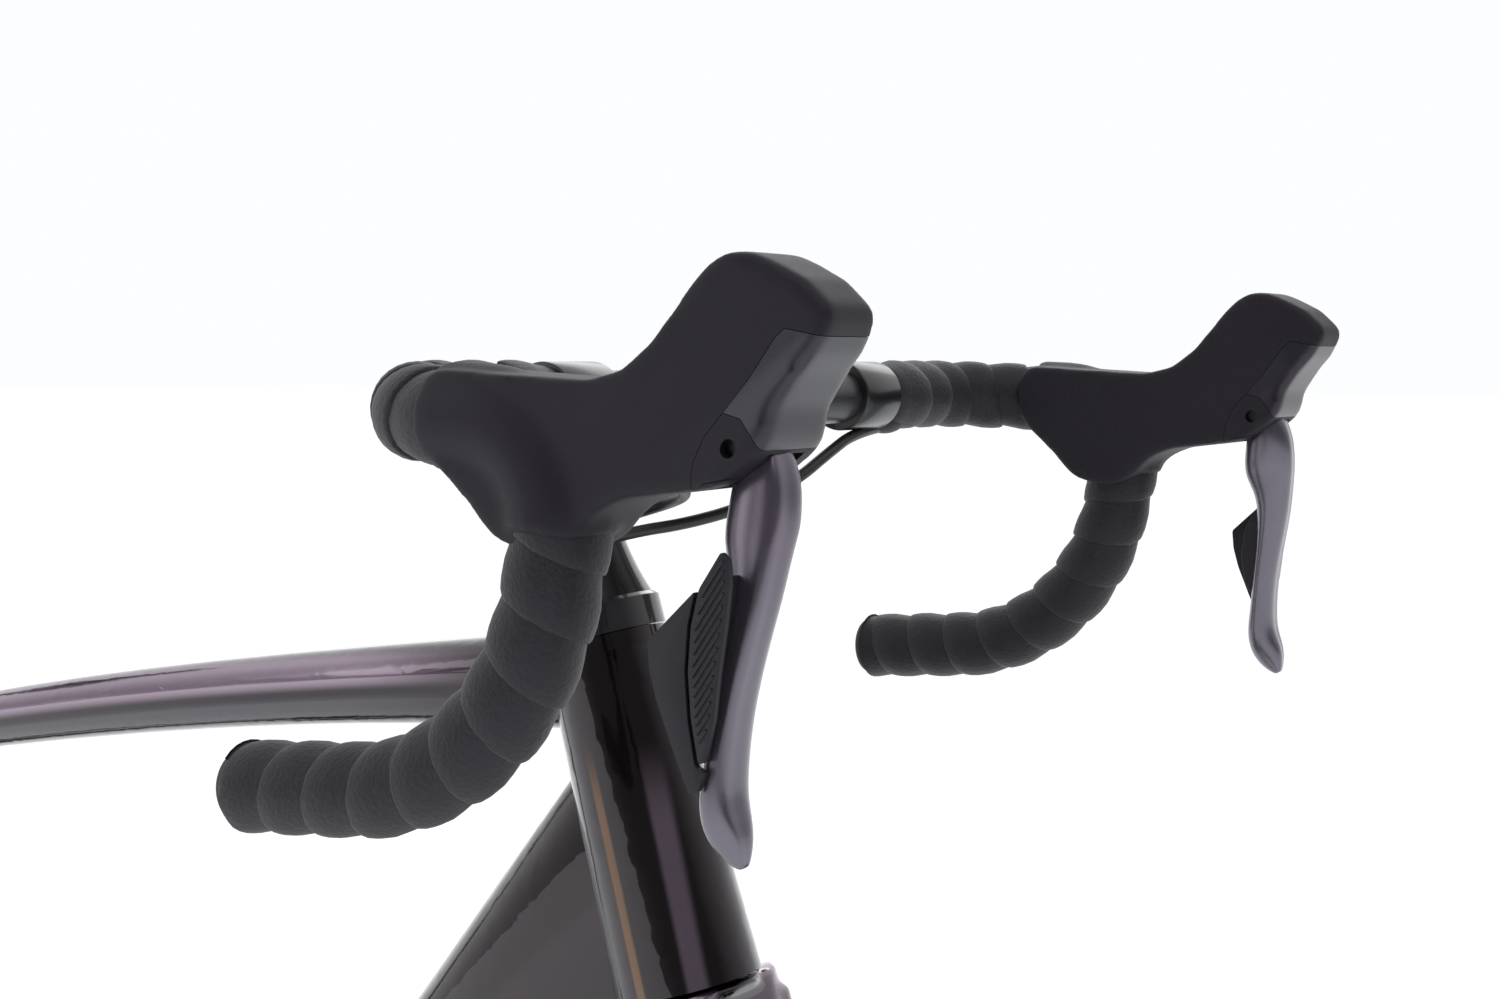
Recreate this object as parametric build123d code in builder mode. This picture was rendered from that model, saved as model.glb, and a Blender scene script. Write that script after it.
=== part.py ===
"""Road bicycle with disc brakes, electronic shifting and a drop bar, as an assembly of separate pieces.

Frame of reference: +X forward, +Y to the rider's left, +Z up, millimetres.
The origin is on the ground, in the bicycle's mid-plane, half way between the two ends of the tyres.
"""

import os
from math import asin, atan2, cos, degrees, hypot, pi, radians, sin, sqrt

from build123d import *

os.makedirs("parts", exist_ok=True)

# ---- Driving dimensions: frame and wheels -----------------------------------------------------------------
wheelbase = 990.0
chainstay_length = 413.0
bottom_bracket_drop = 72.0
head_angle = 73.0
seat_angle = 73.5
head_tube_length = 148.0
seat_tube_length = 488.0
fork_rake = 44.0
fork_length = 370.0
bead_seat_diameter = 622.0
tyre_width = 28.0
rim_depth = 45.0
rim_width = 28.0
spoke_count = 24
rotor_diameter = 160.0

# ---- Driving dimensions: cockpit --------------------------------------------------------------------------
stem_length = 90.0
stem_rise = 11.0            # above level, with the head tube as it leans
stem_clamp_height = 40.0
bar_width = 420.0           # centre to centre at the hoods
bar_reach = 90.0
bar_drop = 126.0
bar_tube_radius = 11.9
bar_clamp_radius = 15.9
steerer_radius = 14.3
tape_thickness = 2.3

# ---- Driving dimensions: drivetrain -----------------------------------------------------------------------
chain_pitch = 12.7
chain_roller_radius = 3.85
big_ring_teeth = 52
small_ring_teeth = 36
sprocket_teeth = [11, 12, 13, 14, 15, 16, 17, 19, 21, 24, 27, 30]
sprocket_pitch = 3.65
sprocket_in_use = 5
pulley_teeth = 11
crank_length = 172.5
pedal_tread = 148.0         # over the outer faces of the cranks
seatpost_radius = 13.6
saddle_height = 720.0       # bottom bracket to the top of the saddle, along the seat tube
running = 0.05              # radial clearance of shafts
gap = 0.3                   # clearance of pieces that pass each other

# ---- Driving dimensions: hub and frame widths -------------------------------------------------------------
front_hub_width = 100.0
rear_hub_width = 142.0
rotor_inset = 15.0          # from the hub's end face to the rotor's middle
rotor_thickness = 1.8
axle_radius = 6.0
axle_head = 9.0
bottom_bracket_width = 86.0

# ---- Points that everything hangs from --------------------------------------------------------------------
tyre_radius = bead_seat_diameter / 2 + tyre_width
ha = radians(head_angle)
sa = radians(seat_angle)
rear_axle = Vector(-wheelbase / 2, 0, tyre_radius)
front_axle = Vector(wheelbase / 2, 0, tyre_radius)
bottom_bracket = rear_axle + Vector(
    sqrt(chainstay_length**2 - bottom_bracket_drop**2), 0, -bottom_bracket_drop
)
head_up = Vector(-cos(ha), 0, sin(ha))
head_forward = Vector(sin(ha), 0, cos(ha))
seat_up = Vector(-cos(sa), 0, sin(sa))
crown = front_axle - head_forward * fork_rake + head_up * sqrt(fork_length**2 - fork_rake**2)
side_axis = Vector(0, 1, 0)
bearing_gap = 1.5
head_bottom = crown + head_up * bearing_gap
head_top = head_bottom + head_up * head_tube_length
seat_top = bottom_bracket + seat_up * seat_tube_length


def save(part, name):
    """Write one piece as its own STEP file, named after it."""
    part.label = name
    export_step(part, f"parts/{name}.step")


def several(*parts):
    """Pieces that touch but stay separate solids, in one node."""
    return Compound(children=[solid for part in parts for solid in part.solids()])


def across(point, direction):
    """The plane through a point, square to a direction in the side plane, with its x along the bicycle's Y."""
    return Plane(point, x_dir=(0, 1, 0), z_dir=direction)


def oval_tube(stations):
    """A lofted tube. Each station is a centre, a direction, a width across the bicycle and a height."""
    with BuildPart() as tube:
        for centre, direction, width, height in stations:
            with BuildSketch(across(centre, direction)):
                Ellipse(width / 2, height / 2)
        loft()
    return tube.part


def boxy_tube(stations, softness=0.36):
    """A lofted tube of rounded rectangular section, with the same stations as an oval one."""
    with BuildPart() as tube:
        for centre, direction, width, height in stations:
            with BuildSketch(across(centre, direction)):
                RectangleRounded(width, height, softness * min(width, height))
        loft()
    return tube.part


def rod(start, end, radius):
    """A plain round rod between two points."""
    along = end - start
    with BuildPart() as bar:
        with BuildSketch(Plane(start, z_dir=along)):
            Circle(radius)
        extrude(amount=along.length)
    return bar.part


def ring(centre, direction, outer, inner, length):
    """A plain ring that starts at a point and runs along a direction."""
    with BuildPart() as band:
        with BuildSketch(Plane(centre, z_dir=direction)):
            Circle(outer)
            Circle(inner, mode=Mode.SUBTRACT)
        extrude(amount=length)
    return band.part


def turned(centre, points):
    """A piece turned about the wheel axis: points are (Y, radius) pairs of half its section."""
    profile_plane = Plane(centre, x_dir=(0, 1, 0), z_dir=(1, 0, 0))
    with BuildPart() as piece:
        with BuildSketch(profile_plane):
            with BuildLine():
                Polyline(*points, close=True)
            make_face()
        revolve(axis=Axis(centre, (0, 1, 0)))
    return piece.part


def thinned(stations, wall):
    """The same stations with the wall taken off both sizes."""
    return [(c, d, w - 2 * wall, h - 2 * wall) for c, d, w, h in stations]


# ============================================================================================================
# Frame
# ============================================================================================================
frame_wall = 2.2
head_radius_bottom = 31.5
head_radius_top = 26.0
upper_seat_radius = 20.9
lower_seat_radius = 26.0
bearing_height = 7.0
head_bore_bottom = 21.3
crown_clearance = 46.0       # radius of the room below the head tube in which the fork crown turns
head_bore_top = 18.0
bb_shell_radius = 25.0
bb_cup_radius = 20.5
seat_tube_depth = 36.0
top_tube_camber = 9.0
top_tube_below_head = 17.0
top_tube_below_seat = 12.0
down_tube_up_head = 0.40     # share of the head tube that the down tube's axis meets

tt_front = head_top - head_up * top_tube_below_head
tt_rear = seat_top - seat_up * top_tube_below_seat
dt_front = head_bottom + head_up * head_tube_length * down_tube_up_head
dt_direction = bottom_bracket - dt_front
st_direction = seat_top - bottom_bracket


def on_top_tube(share):
    """A point on the top tube's arched centre line, from the head at 0 to the seat at 1."""
    return tt_front + (tt_rear - tt_front) * share + Vector(0, 0, 4 * top_tube_camber * share * (1 - share))


def along(start, direction, sizes):
    """Stations along a straight tube, from shares, widths and heights."""
    return [(start + direction * share, direction, width, height) for share, width, height in sizes]


tt_sizes = [(0.0, 42.0, 44.0), (0.16, 42.0, 37.0), (0.5, 40.0, 32.0), (0.8, 36.0, 29.0), (1.0, 32.0, 27.0)]
tt_stations = [
    (on_top_tube(t), on_top_tube(t + 0.01) - on_top_tube(t - 0.01), w, h) for t, w, h in tt_sizes
]
dt_sizes = [(0.0, 42.0, 96.0), (0.12, 50.0, 88.0), (0.3, 54.0, 76.0), (0.65, 54.0, 60.0), (1.0, 60.0, 46.0)]
dt_stations = along(dt_front, dt_direction, dt_sizes)
st_sizes = [(0.0, 44.0, 46.0), (0.3, 37.0, 42.0), (0.7, 34.0, 38.0), (1.0, 34.0, seat_tube_depth)]
st_stations = along(bottom_bracket, st_direction, st_sizes)

boss_spacing = 64.0
boss_radius = 2.5
boss_start = 250.0           # from the head tube, along the down tube
dt_unit = dt_direction.normalized()
dt_upward = Vector(dt_unit.Z, 0, -dt_unit.X)
boss_points = [dt_front + dt_unit * (boss_start + k * boss_spacing) for k in (0, 1)]
boss_middle = (boss_points[0] + boss_points[1]) * 0.5
boss_flat_height = 36.5      # from the down tube's axis up to the flat that the cage rests on
boss_depth = 12.0

with BuildPart() as main_frame:
    for share, radius in ((0.0, head_radius_bottom), (0.5, 28.6), (1.0, head_radius_top)):
        with BuildSketch(across(head_bottom + head_up * head_tube_length * share, head_up)):
            Circle(radius)
    loft()
    add(boxy_tube(tt_stations))
    add(oval_tube(dt_stations))
    add(oval_tube(st_stations))
    with BuildSketch(Plane.XZ.offset(-bottom_bracket_width / 2)):
        with Locations((bottom_bracket.X, bottom_bracket.Z)):
            Circle(bb_shell_radius)
    extrude(amount=bottom_bracket_width)
    with BuildSketch(Plane(boss_middle, x_dir=dt_unit, z_dir=dt_upward)):
        SlotOverall(boss_spacing + 24, 18)
    extrude(amount=boss_flat_height)
    add(boxy_tube(thinned(tt_stations[1:4], frame_wall)), mode=Mode.SUBTRACT)
    add(oval_tube(thinned(dt_stations[1:4], frame_wall)), mode=Mode.SUBTRACT)
    with BuildSketch(across(head_bottom - head_up, head_up)):
        Circle(head_bore_bottom)
    extrude(amount=head_tube_length * 0.6, mode=Mode.SUBTRACT)
    with BuildSketch(across(head_bottom - head_up, head_up)):
        Circle(head_bore_top)
    extrude(amount=head_tube_length + 2, mode=Mode.SUBTRACT)
    with BuildSketch(across(head_bottom - head_up, head_up)):
        Circle(lower_seat_radius)
    extrude(amount=bearing_height + 1, mode=Mode.SUBTRACT)
    with BuildSketch(across(head_top + head_up, -head_up)):
        Circle(upper_seat_radius)
    extrude(amount=bearing_height + 1, mode=Mode.SUBTRACT)
    with BuildSketch(Plane.XZ.offset(-bottom_bracket_width / 2 - 1)):
        with Locations((bottom_bracket.X, bottom_bracket.Z)):
            Circle(bb_cup_radius)
    extrude(amount=bottom_bracket_width + 2, mode=Mode.SUBTRACT)
    with BuildSketch(across(seat_top + seat_up * 20, -seat_up)):
        Circle(seatpost_radius)
    extrude(amount=seat_tube_length * 0.55 + 20, mode=Mode.SUBTRACT)
    add(rod(seat_top, seat_top + seat_up * seat_tube_depth, seat_tube_depth), mode=Mode.SUBTRACT)
    add(rod(head_top, head_top + head_up * 30, 2 * head_radius_top), mode=Mode.SUBTRACT)
    add(rod(head_bottom, head_bottom - head_up * 30, crown_clearance), mode=Mode.SUBTRACT)
    for point in boss_points:
        with BuildSketch(Plane(point + dt_upward * (boss_flat_height + 1), x_dir=dt_unit, z_dir=-dt_upward)):
            Circle(boss_radius)
        extrude(amount=boss_depth, mode=Mode.SUBTRACT)
save(main_frame.part, "main_frame")

# ---- Rear triangle ----------------------------------------------------------------------------------------
dropout_radius = 15.0
dropout_thickness = 9.0
dropout_inner = rear_hub_width / 2

chainstay_run = [
    # X from the rear axle, Y, Z from the rear axle, width, height
    (395.0, 27.0, -70.0, 16.0, 40.0),
    (315.0, 30.5, -60.0, 15.0, 34.0),
    (195.0, 48.0, -37.0, 16.0, 28.0),
    (95.0, 67.0, -16.0, 14.0, 24.0),
    (0.0, dropout_inner + 6.5, 0.0, 11.0, 24.0),
]
seatstay_run = [
    (287.0, 9.0, 321.0, 14.0, 26.0),
    (240.0, 26.0, 269.5, 12.0, 20.0),
    (145.0, 48.0, 165.0, 11.0, 17.0),
    (55.0, 70.0, 66.5, 11.0, 16.0),
    (3.0, dropout_inner + 6.0, 8.0, 10.0, 16.0),
]


def stay(run):
    """A pair of stays, lofted down one side and mirrored to the other."""
    centres = [rear_axle + Vector(x, y, z) for x, y, z, _, _ in run]
    stations = []
    for i, (_, _, _, width, height) in enumerate(run):
        before = centres[max(i - 1, 0)]
        after = centres[min(i + 1, len(run) - 1)]
        level = after - before
        stations.append((centres[i], Vector(level.X, 0, level.Z), width, height))
    return oval_tube(stations)



def side_disc(centre, radius, y_from, y_to):
    """A plain disc about an axis along Y, between two distances from the mid-plane."""
    low, high = min(y_from, y_to), max(y_from, y_to)
    with BuildPart() as disc:
        with BuildSketch(Plane.XZ.offset(-high)):
            with Locations((centre.X, centre.Z)):
                Circle(radius)
        extrude(amount=high - low)
    return disc.part


def side_ring(centre, outer, inner, y_from, y_to):
    """A flat ring about an axis along Y, between two distances from the mid-plane."""
    low, high = min(y_from, y_to), max(y_from, y_to)
    with BuildPart() as band:
        with BuildSketch(Plane.XZ.offset(-high)):
            with Locations((centre.X, centre.Z)):
                Circle(outer)
                Circle(inner, mode=Mode.SUBTRACT)
        extrude(amount=high - low)
    return band.part


def side_plate(points, y_from, y_to):
    """A flat plate cut to an outline of (X, Z) points, between two distances from the mid-plane."""
    low, high = min(y_from, y_to), max(y_from, y_to)
    with BuildPart() as plate:
        with BuildSketch(Plane.XZ.offset(-high)):
            with BuildLine():
                Polyline(*points, close=True)
            make_face()
        extrude(amount=high - low)
    return plate.part


axle_recess = side_disc(rear_axle, axle_head + 1, dropout_inner + dropout_thickness, dropout_inner + 30)
with BuildPart() as chainstays:
    add(stay(chainstay_run))
    add(side_disc(rear_axle, dropout_radius, dropout_inner, dropout_inner + dropout_thickness))
    add(side_disc(rear_axle, dropout_radius + 6, dropout_inner - 30, dropout_inner), mode=Mode.SUBTRACT)
    add(side_disc(rear_axle, axle_radius, dropout_inner - 1, dropout_inner + 20), mode=Mode.SUBTRACT)
    add(axle_recess, mode=Mode.SUBTRACT)
    add(side_disc(bottom_bracket, bb_shell_radius, 0, 60), mode=Mode.SUBTRACT)
    mirror(about=Plane.XZ)
    add(main_frame.part, mode=Mode.SUBTRACT)
save(chainstays.part, "chainstays")

with BuildPart() as seatstays:
    add(stay(seatstay_run))
    add(side_disc(rear_axle, dropout_radius + 6, dropout_inner - 30, dropout_inner), mode=Mode.SUBTRACT)
    add(axle_recess, mode=Mode.SUBTRACT)
    add(side_disc(rear_axle, axle_radius, dropout_inner - 1, dropout_inner + 20), mode=Mode.SUBTRACT)
    add(rod(bottom_bracket + st_direction * 0.4, seat_top, seatpost_radius), mode=Mode.SUBTRACT)
    mirror(about=Plane.XZ)
    add(main_frame.part, mode=Mode.SUBTRACT)
    add(chainstays.part, mode=Mode.SUBTRACT)
save(seatstays.part, "seatstays")

# ---- Bearings of the frame --------------------------------------------------------------------------------
steerer_race_radius = 19.9
bb_axle_radius = 12.0
cup_lip = 3.0
cup_lip_radius = 23.0

lower_bearing = ring(head_bottom, head_up, lower_seat_radius, steerer_race_radius + running, bearing_height)
upper_bearing = ring(head_top, -head_up, upper_seat_radius, steerer_radius + running, bearing_height)
bb_half = bottom_bracket_width / 2
with BuildPart() as bottom_bracket_bearings:
    cup = side_ring(bottom_bracket, bb_cup_radius, bb_axle_radius + running, bb_half - 14, bb_half)
    lip = side_ring(bottom_bracket, cup_lip_radius, bb_axle_radius + running, bb_half, bb_half + cup_lip)
    add(cup)
    add(lip)
    mirror(about=Plane.XZ)
save(several(lower_bearing, upper_bearing, bottom_bracket_bearings.part), "frame_bearings")

# ---- Seat clamp, post and saddle --------------------------------------------------------------------------
clamp_height = 14.0
clamp_wall = 3.2
post_insert = 110.0
saddle_top = bottom_bracket + seat_up * saddle_height
rail_drop = 48.0
post_top = bottom_bracket + seat_up * (saddle_height - 62)
rail_radius = 3.5
rail_half_gap = 22.0
saddle_length = 255.0
saddle_width = 144.0
saddle_nose = saddle_top.X + 130.0
rail_z = saddle_top.Z - rail_drop

with BuildPart() as seat_clamp:
    with BuildSketch(across(seat_top, seat_up)):
        Circle(seatpost_radius + clamp_wall)
        with Locations((0, -seatpost_radius - 4)):
            Rectangle(16, 12)
        Circle(seatpost_radius, mode=Mode.SUBTRACT)
    extrude(amount=clamp_height)
    with BuildSketch(Plane.XZ.offset(0.8)):
        with Locations((seat_top.X - 20 - clamp_height * 0.14, seat_top.Z + 3)):
            Rectangle(24, 46)
    extrude(amount=-1.6, mode=Mode.SUBTRACT)
save(seat_clamp.part, "seat_clamp")

with BuildPart() as seatpost:
    with BuildSketch(across(seat_top - seat_up * post_insert, seat_up)):
        Circle(seatpost_radius)
        Circle(seatpost_radius - 2.2, mode=Mode.SUBTRACT)
    extrude(amount=(post_top - seat_top).length + post_insert - 12)
    with BuildSketch(across(post_top - seat_up * 12, seat_up)):
        RectangleRounded(2 * seatpost_radius, 34, 8)
    extrude(amount=8)
save(seatpost.part, "seatpost")

with BuildPart() as saddle_clamp:
    with Locations((post_top.X, 0, rail_z)):
        Box(40, 2 * rail_half_gap + 14, 13)
    with Locations((post_top.X, 0, rail_z - 12)):
        Box(34, 22, 16)
    for side in (-1, 1):
        with Locations((post_top.X, side * rail_half_gap, rail_z)):
            Cylinder(rail_radius, 60, rotation=(0, 90, 0), mode=Mode.SUBTRACT)
    add(seatpost.part, mode=Mode.SUBTRACT)
save(saddle_clamp.part, "saddle_clamp")

rail_points = [
    (saddle_nose - 42, 8, saddle_top.Z - 26),
    (saddle_nose - 66, 14, rail_z),
    (post_top.X + 40, rail_half_gap, rail_z),
    (post_top.X - 45, rail_half_gap, rail_z),
    (post_top.X - 78, rail_half_gap + 6, saddle_top.Z - 24),
]
with BuildPart() as saddle_rails:
    with BuildLine() as rail_line:
        FilletPolyline(*rail_points, radius=12)
    with BuildSketch(Plane(rail_line.line @ 0, z_dir=rail_line.line % 0)):
        Circle(rail_radius)
    sweep()
    mirror(about=Plane.XZ)
save(saddle_rails.part, "saddle_rails")

# X back from the nose, half-width, drop of the top below the saddle's highest point
saddle_stations = [
    (1.0, 12.0, 9.0), (22.0, 20.0, 5.0), (80.0, 23.0, 4.5), (130.0, 36.0, 5.5), (180.0, 60.0, 4.0),
    (225.0, 71.0, 0.0), (253.0, 52.0, 0.0),
]
shell_thickness = 3.0
cover_thickness = 16.0


def saddle_layer(top_offset, thickness, inset):
    """One layer of the saddle: a lofted slab that follows the saddle's width and its curved length."""
    with BuildPart() as layer:
        for back, half, drop in saddle_stations:
            centre = Vector(saddle_nose - back, 0, saddle_top.Z - drop - top_offset - thickness / 2)
            with BuildSketch(Plane(centre, x_dir=(0, 1, 0), z_dir=(-1, 0, 0))):
                RectangleRounded(2 * (half - inset), thickness, thickness * 0.45)
        loft()
    return layer.part


with BuildPart() as saddle_cover:
    add(saddle_layer(0.0, cover_thickness, 0.0))
save(saddle_cover.part, "saddle_cover")

with BuildPart() as saddle_shell:
    add(saddle_layer(cover_thickness, shell_thickness + 4, 3.0))
    add(saddle_cover.part, mode=Mode.SUBTRACT)
    add(saddle_rails.part, mode=Mode.SUBTRACT)
save(saddle_shell.part, "saddle_shell")

# ============================================================================================================
# Steering: fork, stem, bar and levers
# ============================================================================================================
race_height = bearing_height + 1.0
taper_height = 55.0
cover_gap = 0.8
cover_height = 14.0
cover_radius = 27.0
cone_height = 44.0
cone_bottom_radius = 24.5
cone_top_radius = 17.5
spacer_height = 10.0
stem_start = cover_gap + cover_height + cone_height + spacer_height
stem_centre = head_top + head_up * (stem_start + stem_clamp_height / 2)
stem_direction = Vector(cos(radians(stem_rise)), 0, sin(radians(stem_rise)))
stem_upward = Vector(-sin(radians(stem_rise)), 0, cos(radians(stem_rise)))
bar_centre = stem_centre + stem_direction * stem_length
steerer_top = stem_centre + head_up * (stem_clamp_height / 2 - 3)

crown_depth = 22.0
crown_width = 84.0
crown_length = 50.0
fork_wall = 2.8
front_half = front_hub_width / 2

# share of the way from crown to axle, Y of the blade's middle, width, length fore and aft, forward offset
fork_run = [
    (0.03, 33.0, 23.0, 50.0, 0.0),
    (0.25, 38.5, 19.0, 42.0, 1.5),
    (0.55, 46.0, 16.0, 34.0, 8.0),
    (0.85, 53.0, 14.0, 27.0, 27.0),
    (1.0, front_half + 6.5, 12.0, 24.0, fork_rake),
]
fork_drop = (fork_length**2 - fork_rake**2) ** 0.5


def fork_blade():
    """One fork blade, on the left."""
    stations = []
    for share, y, width, length, offset in fork_run:
        centre = crown - head_up * (fork_drop * share) + head_forward * offset + side_axis * y
        stations.append((centre, -head_up, width, length))
    return oval_tube(stations)


with BuildPart() as fork:
    with BuildSketch(across(crown, -head_up)):
        RectangleRounded(crown_width, crown_length, 20)
    extrude(amount=crown_depth)
    with BuildSketch(across(crown - head_up * 4, head_up)):
        Circle(lower_seat_radius + 4)
    extrude(amount=4)
    add(fork_blade())
    add(side_disc(front_axle, dropout_radius - 1, front_half, front_half + 12))
    add(side_disc(front_axle, dropout_radius + 4, front_half - 30, front_half), mode=Mode.SUBTRACT)
    add(side_disc(front_axle, axle_radius, front_half - 1, front_half + 20), mode=Mode.SUBTRACT)
    add(side_disc(front_axle, axle_head + 1, front_half + 12, front_half + 30), mode=Mode.SUBTRACT)
    add(side_disc(front_axle, tyre_radius + 6, 0, tyre_width / 2 + 4.5), mode=Mode.SUBTRACT)
    split(bisect_by=Plane(crown, z_dir=side_axis), keep=Keep.TOP)
    mirror(about=Plane.XZ)
    add(rod(crown - head_up * 2, head_bottom + head_up * race_height, steerer_race_radius))
    with BuildSketch(across(head_bottom + head_up * race_height, head_up)):
        Circle(steerer_race_radius)
    with BuildSketch(across(head_bottom + head_up * (race_height + taper_height), head_up)):
        Circle(steerer_radius)
    loft()
    add(rod(head_bottom + head_up * race_height, steerer_top, steerer_radius))
    add(rod(crown - head_up * 10, steerer_top + head_up, steerer_radius - fork_wall), mode=Mode.SUBTRACT)
save(fork.part, "fork")

with BuildPart() as headset_cover:
    low = head_top + head_up * cover_gap
    add(ring(low, head_up, cover_radius, steerer_radius, cover_height))
    chamfer(edges().filter_by(GeomType.CIRCLE).sort_by(Axis.Z)[-2:].sort_by(SortBy.RADIUS)[-1], 1.5)
with BuildPart() as cone_spacer:
    low = head_top + head_up * (cover_gap + cover_height)
    cone_plane = Plane(low, x_dir=head_forward, z_dir=(0, -1, 0))
    with BuildSketch(cone_plane):
        with BuildLine():
            Line((steerer_radius, 0), (cone_bottom_radius, 0))
            ThreePointArc(
                (cone_bottom_radius, 0),
                (cone_top_radius + 1.8, cone_height * 0.45),
                (cone_top_radius, cone_height),
            )
            Line((cone_top_radius, cone_height), (steerer_radius, cone_height))
            Line((steerer_radius, cone_height), (steerer_radius, 0))
        make_face()
    revolve(axis=Axis(low, head_up))
with BuildPart() as top_spacer:
    add(ring(head_top + head_up * (stem_start - spacer_height), head_up, cone_top_radius, steerer_radius,
             spacer_height))

hose_radius = 2.5


# ---- Stem -------------------------------------------------------------------------------------------------
stem_clamp_radius = 18.5
stem_arm_radius = 16.0
bar_clamp_width = 46.0
bar_clamp_outer = 20.5
faceplate_gap = 1.5
stem_bolt_radius = 2.5
stem_bolt_head = 4.2
stem_bolt_reach = 18.8       # from the bar's centre up or down to the bolts
cap_height = 3.0

bar_plane = Plane(bar_centre, x_dir=(0, 1, 0), z_dir=stem_direction)
face_start = bar_centre + stem_direction * faceplate_gap
bolt_spots = [
    (side * (bar_clamp_width / 2 - 6), level * stem_bolt_reach) for side in (-1, 1) for level in (-1, 1)
]


def clamp_block(start, direction, depth):
    """The blank of one half of the bar clamp, from the split line outwards."""
    with BuildPart() as block:
        with BuildSketch(Plane(start, x_dir=(0, 1, 0), z_dir=direction)):
            RectangleRounded(bar_clamp_width, 2 * (stem_bolt_reach + 5.5), 7)
        extrude(amount=depth)
    return block.part


bar_bore = rod(bar_centre - side_axis * 60, bar_centre + side_axis * 60, bar_clamp_radius)
clamp_barrel = rod(
    bar_centre - side_axis * (bar_clamp_width / 2), bar_centre + side_axis * (bar_clamp_width / 2), bar_clamp_outer
)

with BuildPart() as rear_barrel:
    add(clamp_barrel)
    split(bisect_by=Plane(bar_centre, z_dir=stem_direction), keep=Keep.BOTTOM)
with BuildPart() as front_barrel:
    add(clamp_barrel)
    split(bisect_by=Plane(face_start, z_dir=stem_direction), keep=Keep.TOP)

with BuildPart() as stem:
    bottom = head_top + head_up * stem_start
    add(rod(bottom, bottom + head_up * (stem_clamp_height - 0.01), stem_clamp_radius))
    for share, width, height in ((0.0, 33.0, 34.0), (0.5, 31.0, 31.0), (0.86, 36.0, 36.0)):
        centre = stem_centre + stem_direction * (stem_length * share)
        with BuildSketch(Plane(centre, x_dir=(0, 1, 0), z_dir=stem_direction)):
            RectangleRounded(width, height, 14)
    loft()
    add(clamp_block(bar_centre, -stem_direction, 12))
    add(rear_barrel.part)
    add(bar_bore, mode=Mode.SUBTRACT)
    add(rod(bottom - head_up, bottom + head_up * (stem_clamp_height + 1), steerer_radius), mode=Mode.SUBTRACT)
    with BuildSketch(bar_plane):
        with Locations(*bolt_spots):
            Circle(stem_bolt_radius)
    extrude(amount=-11, mode=Mode.SUBTRACT)
    with BuildSketch(Plane.XZ.offset(0.8)):
        with Locations((stem_centre.X - 18, stem_centre.Z + 2)):
            Rectangle(22, 70)
    extrude(amount=-1.6, mode=Mode.SUBTRACT)
save(stem.part, "stem")

with BuildPart() as stem_faceplate:
    add(clamp_block(face_start, stem_direction, 10))
    add(front_barrel.part)
    add(bar_bore, mode=Mode.SUBTRACT)
    with BuildSketch(Plane(face_start, x_dir=(0, 1, 0), z_dir=stem_direction)):
        with Locations(*bolt_spots):
            Circle(stem_bolt_radius)
    extrude(amount=30, mode=Mode.SUBTRACT)
    with BuildSketch(Plane(face_start + stem_direction * 10, x_dir=(0, 1, 0), z_dir=stem_direction)):
        with Locations(*bolt_spots):
            Circle(stem_bolt_head)
    extrude(amount=30, mode=Mode.SUBTRACT)
save(stem_faceplate.part, "stem_faceplate")

with BuildPart() as stem_bolts:
    for y, level in bolt_spots:
        seat = bar_centre + side_axis * y + stem_upward * level + stem_direction * (faceplate_gap + 10)
        add(rod(seat - stem_direction * 22, seat, stem_bolt_radius))
        add(rod(seat, seat + stem_direction * 4.5, stem_bolt_head))
        add(rod(seat + stem_direction * 2.5, seat + stem_direction * 5, 1.9), mode=Mode.SUBTRACT)
save(stem_bolts.part, "stem_bolts")

with BuildPart() as top_cap:
    cap_seat = stem_centre + head_up * (stem_clamp_height / 2)
    add(rod(cap_seat, cap_seat + head_up * cap_height, stem_clamp_radius - 1.0))
    add(rod(cap_seat, cap_seat - head_up * 22, 3.0))
    add(rod(cap_seat + head_up * 1.2, cap_seat + head_up * 4, 3.0), mode=Mode.SUBTRACT)
save(top_cap.part, "top_cap")

# ---- Handlebar --------------------------------------------------------------------------------------------
# Points are (forward, up) from the bar's centre, in the plane of the hoods unless named otherwise.
bar_half = bar_width / 2
shoulder_radius = 45.0
bend_radius = 30.0
hook_radius = 90.0
bar_taper_end = 62.0
bar_clamp_half = 30.0
bar_wall = 1.8
ramp_drop = 4.5
hook_point = (63.0, -118.0)
bar_end = (-52.0, 2.0 - bar_drop - 4.0)
tape_start = 115.0


def at_bar(forward, up, y):
    """A point given forward and up from the bar's centre, at a distance from the mid-plane."""
    return Vector(bar_centre.X + forward, y, bar_centre.Z + up)


bar_corners = [
    at_bar(0, 0, 0),
    at_bar(0, 0, bar_half),
    at_bar(bar_reach, -ramp_drop, bar_half),
    at_bar(hook_point[0], hook_point[1], bar_half),
    at_bar(bar_end[0], bar_end[1], bar_half),
]
bar_radii = [shoulder_radius, bend_radius, hook_radius]


def along_bar(outer, inner, start_y):
    """A tube that follows the left half of the bar, from a distance out from the middle to its end."""
    points = [at_bar(0, 0, start_y)] + bar_corners[1:]
    with BuildPart() as tube:
        with BuildLine() as route:
            FilletPolyline(*points, radius=bar_radii)
        with BuildSketch(Plane(points[0], x_dir=(1, 0, 0), z_dir=(0, 1, 0))):
            Circle(outer)
            if inner:
                Circle(inner, mode=Mode.SUBTRACT)
        sweep()
    return tube.part


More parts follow.
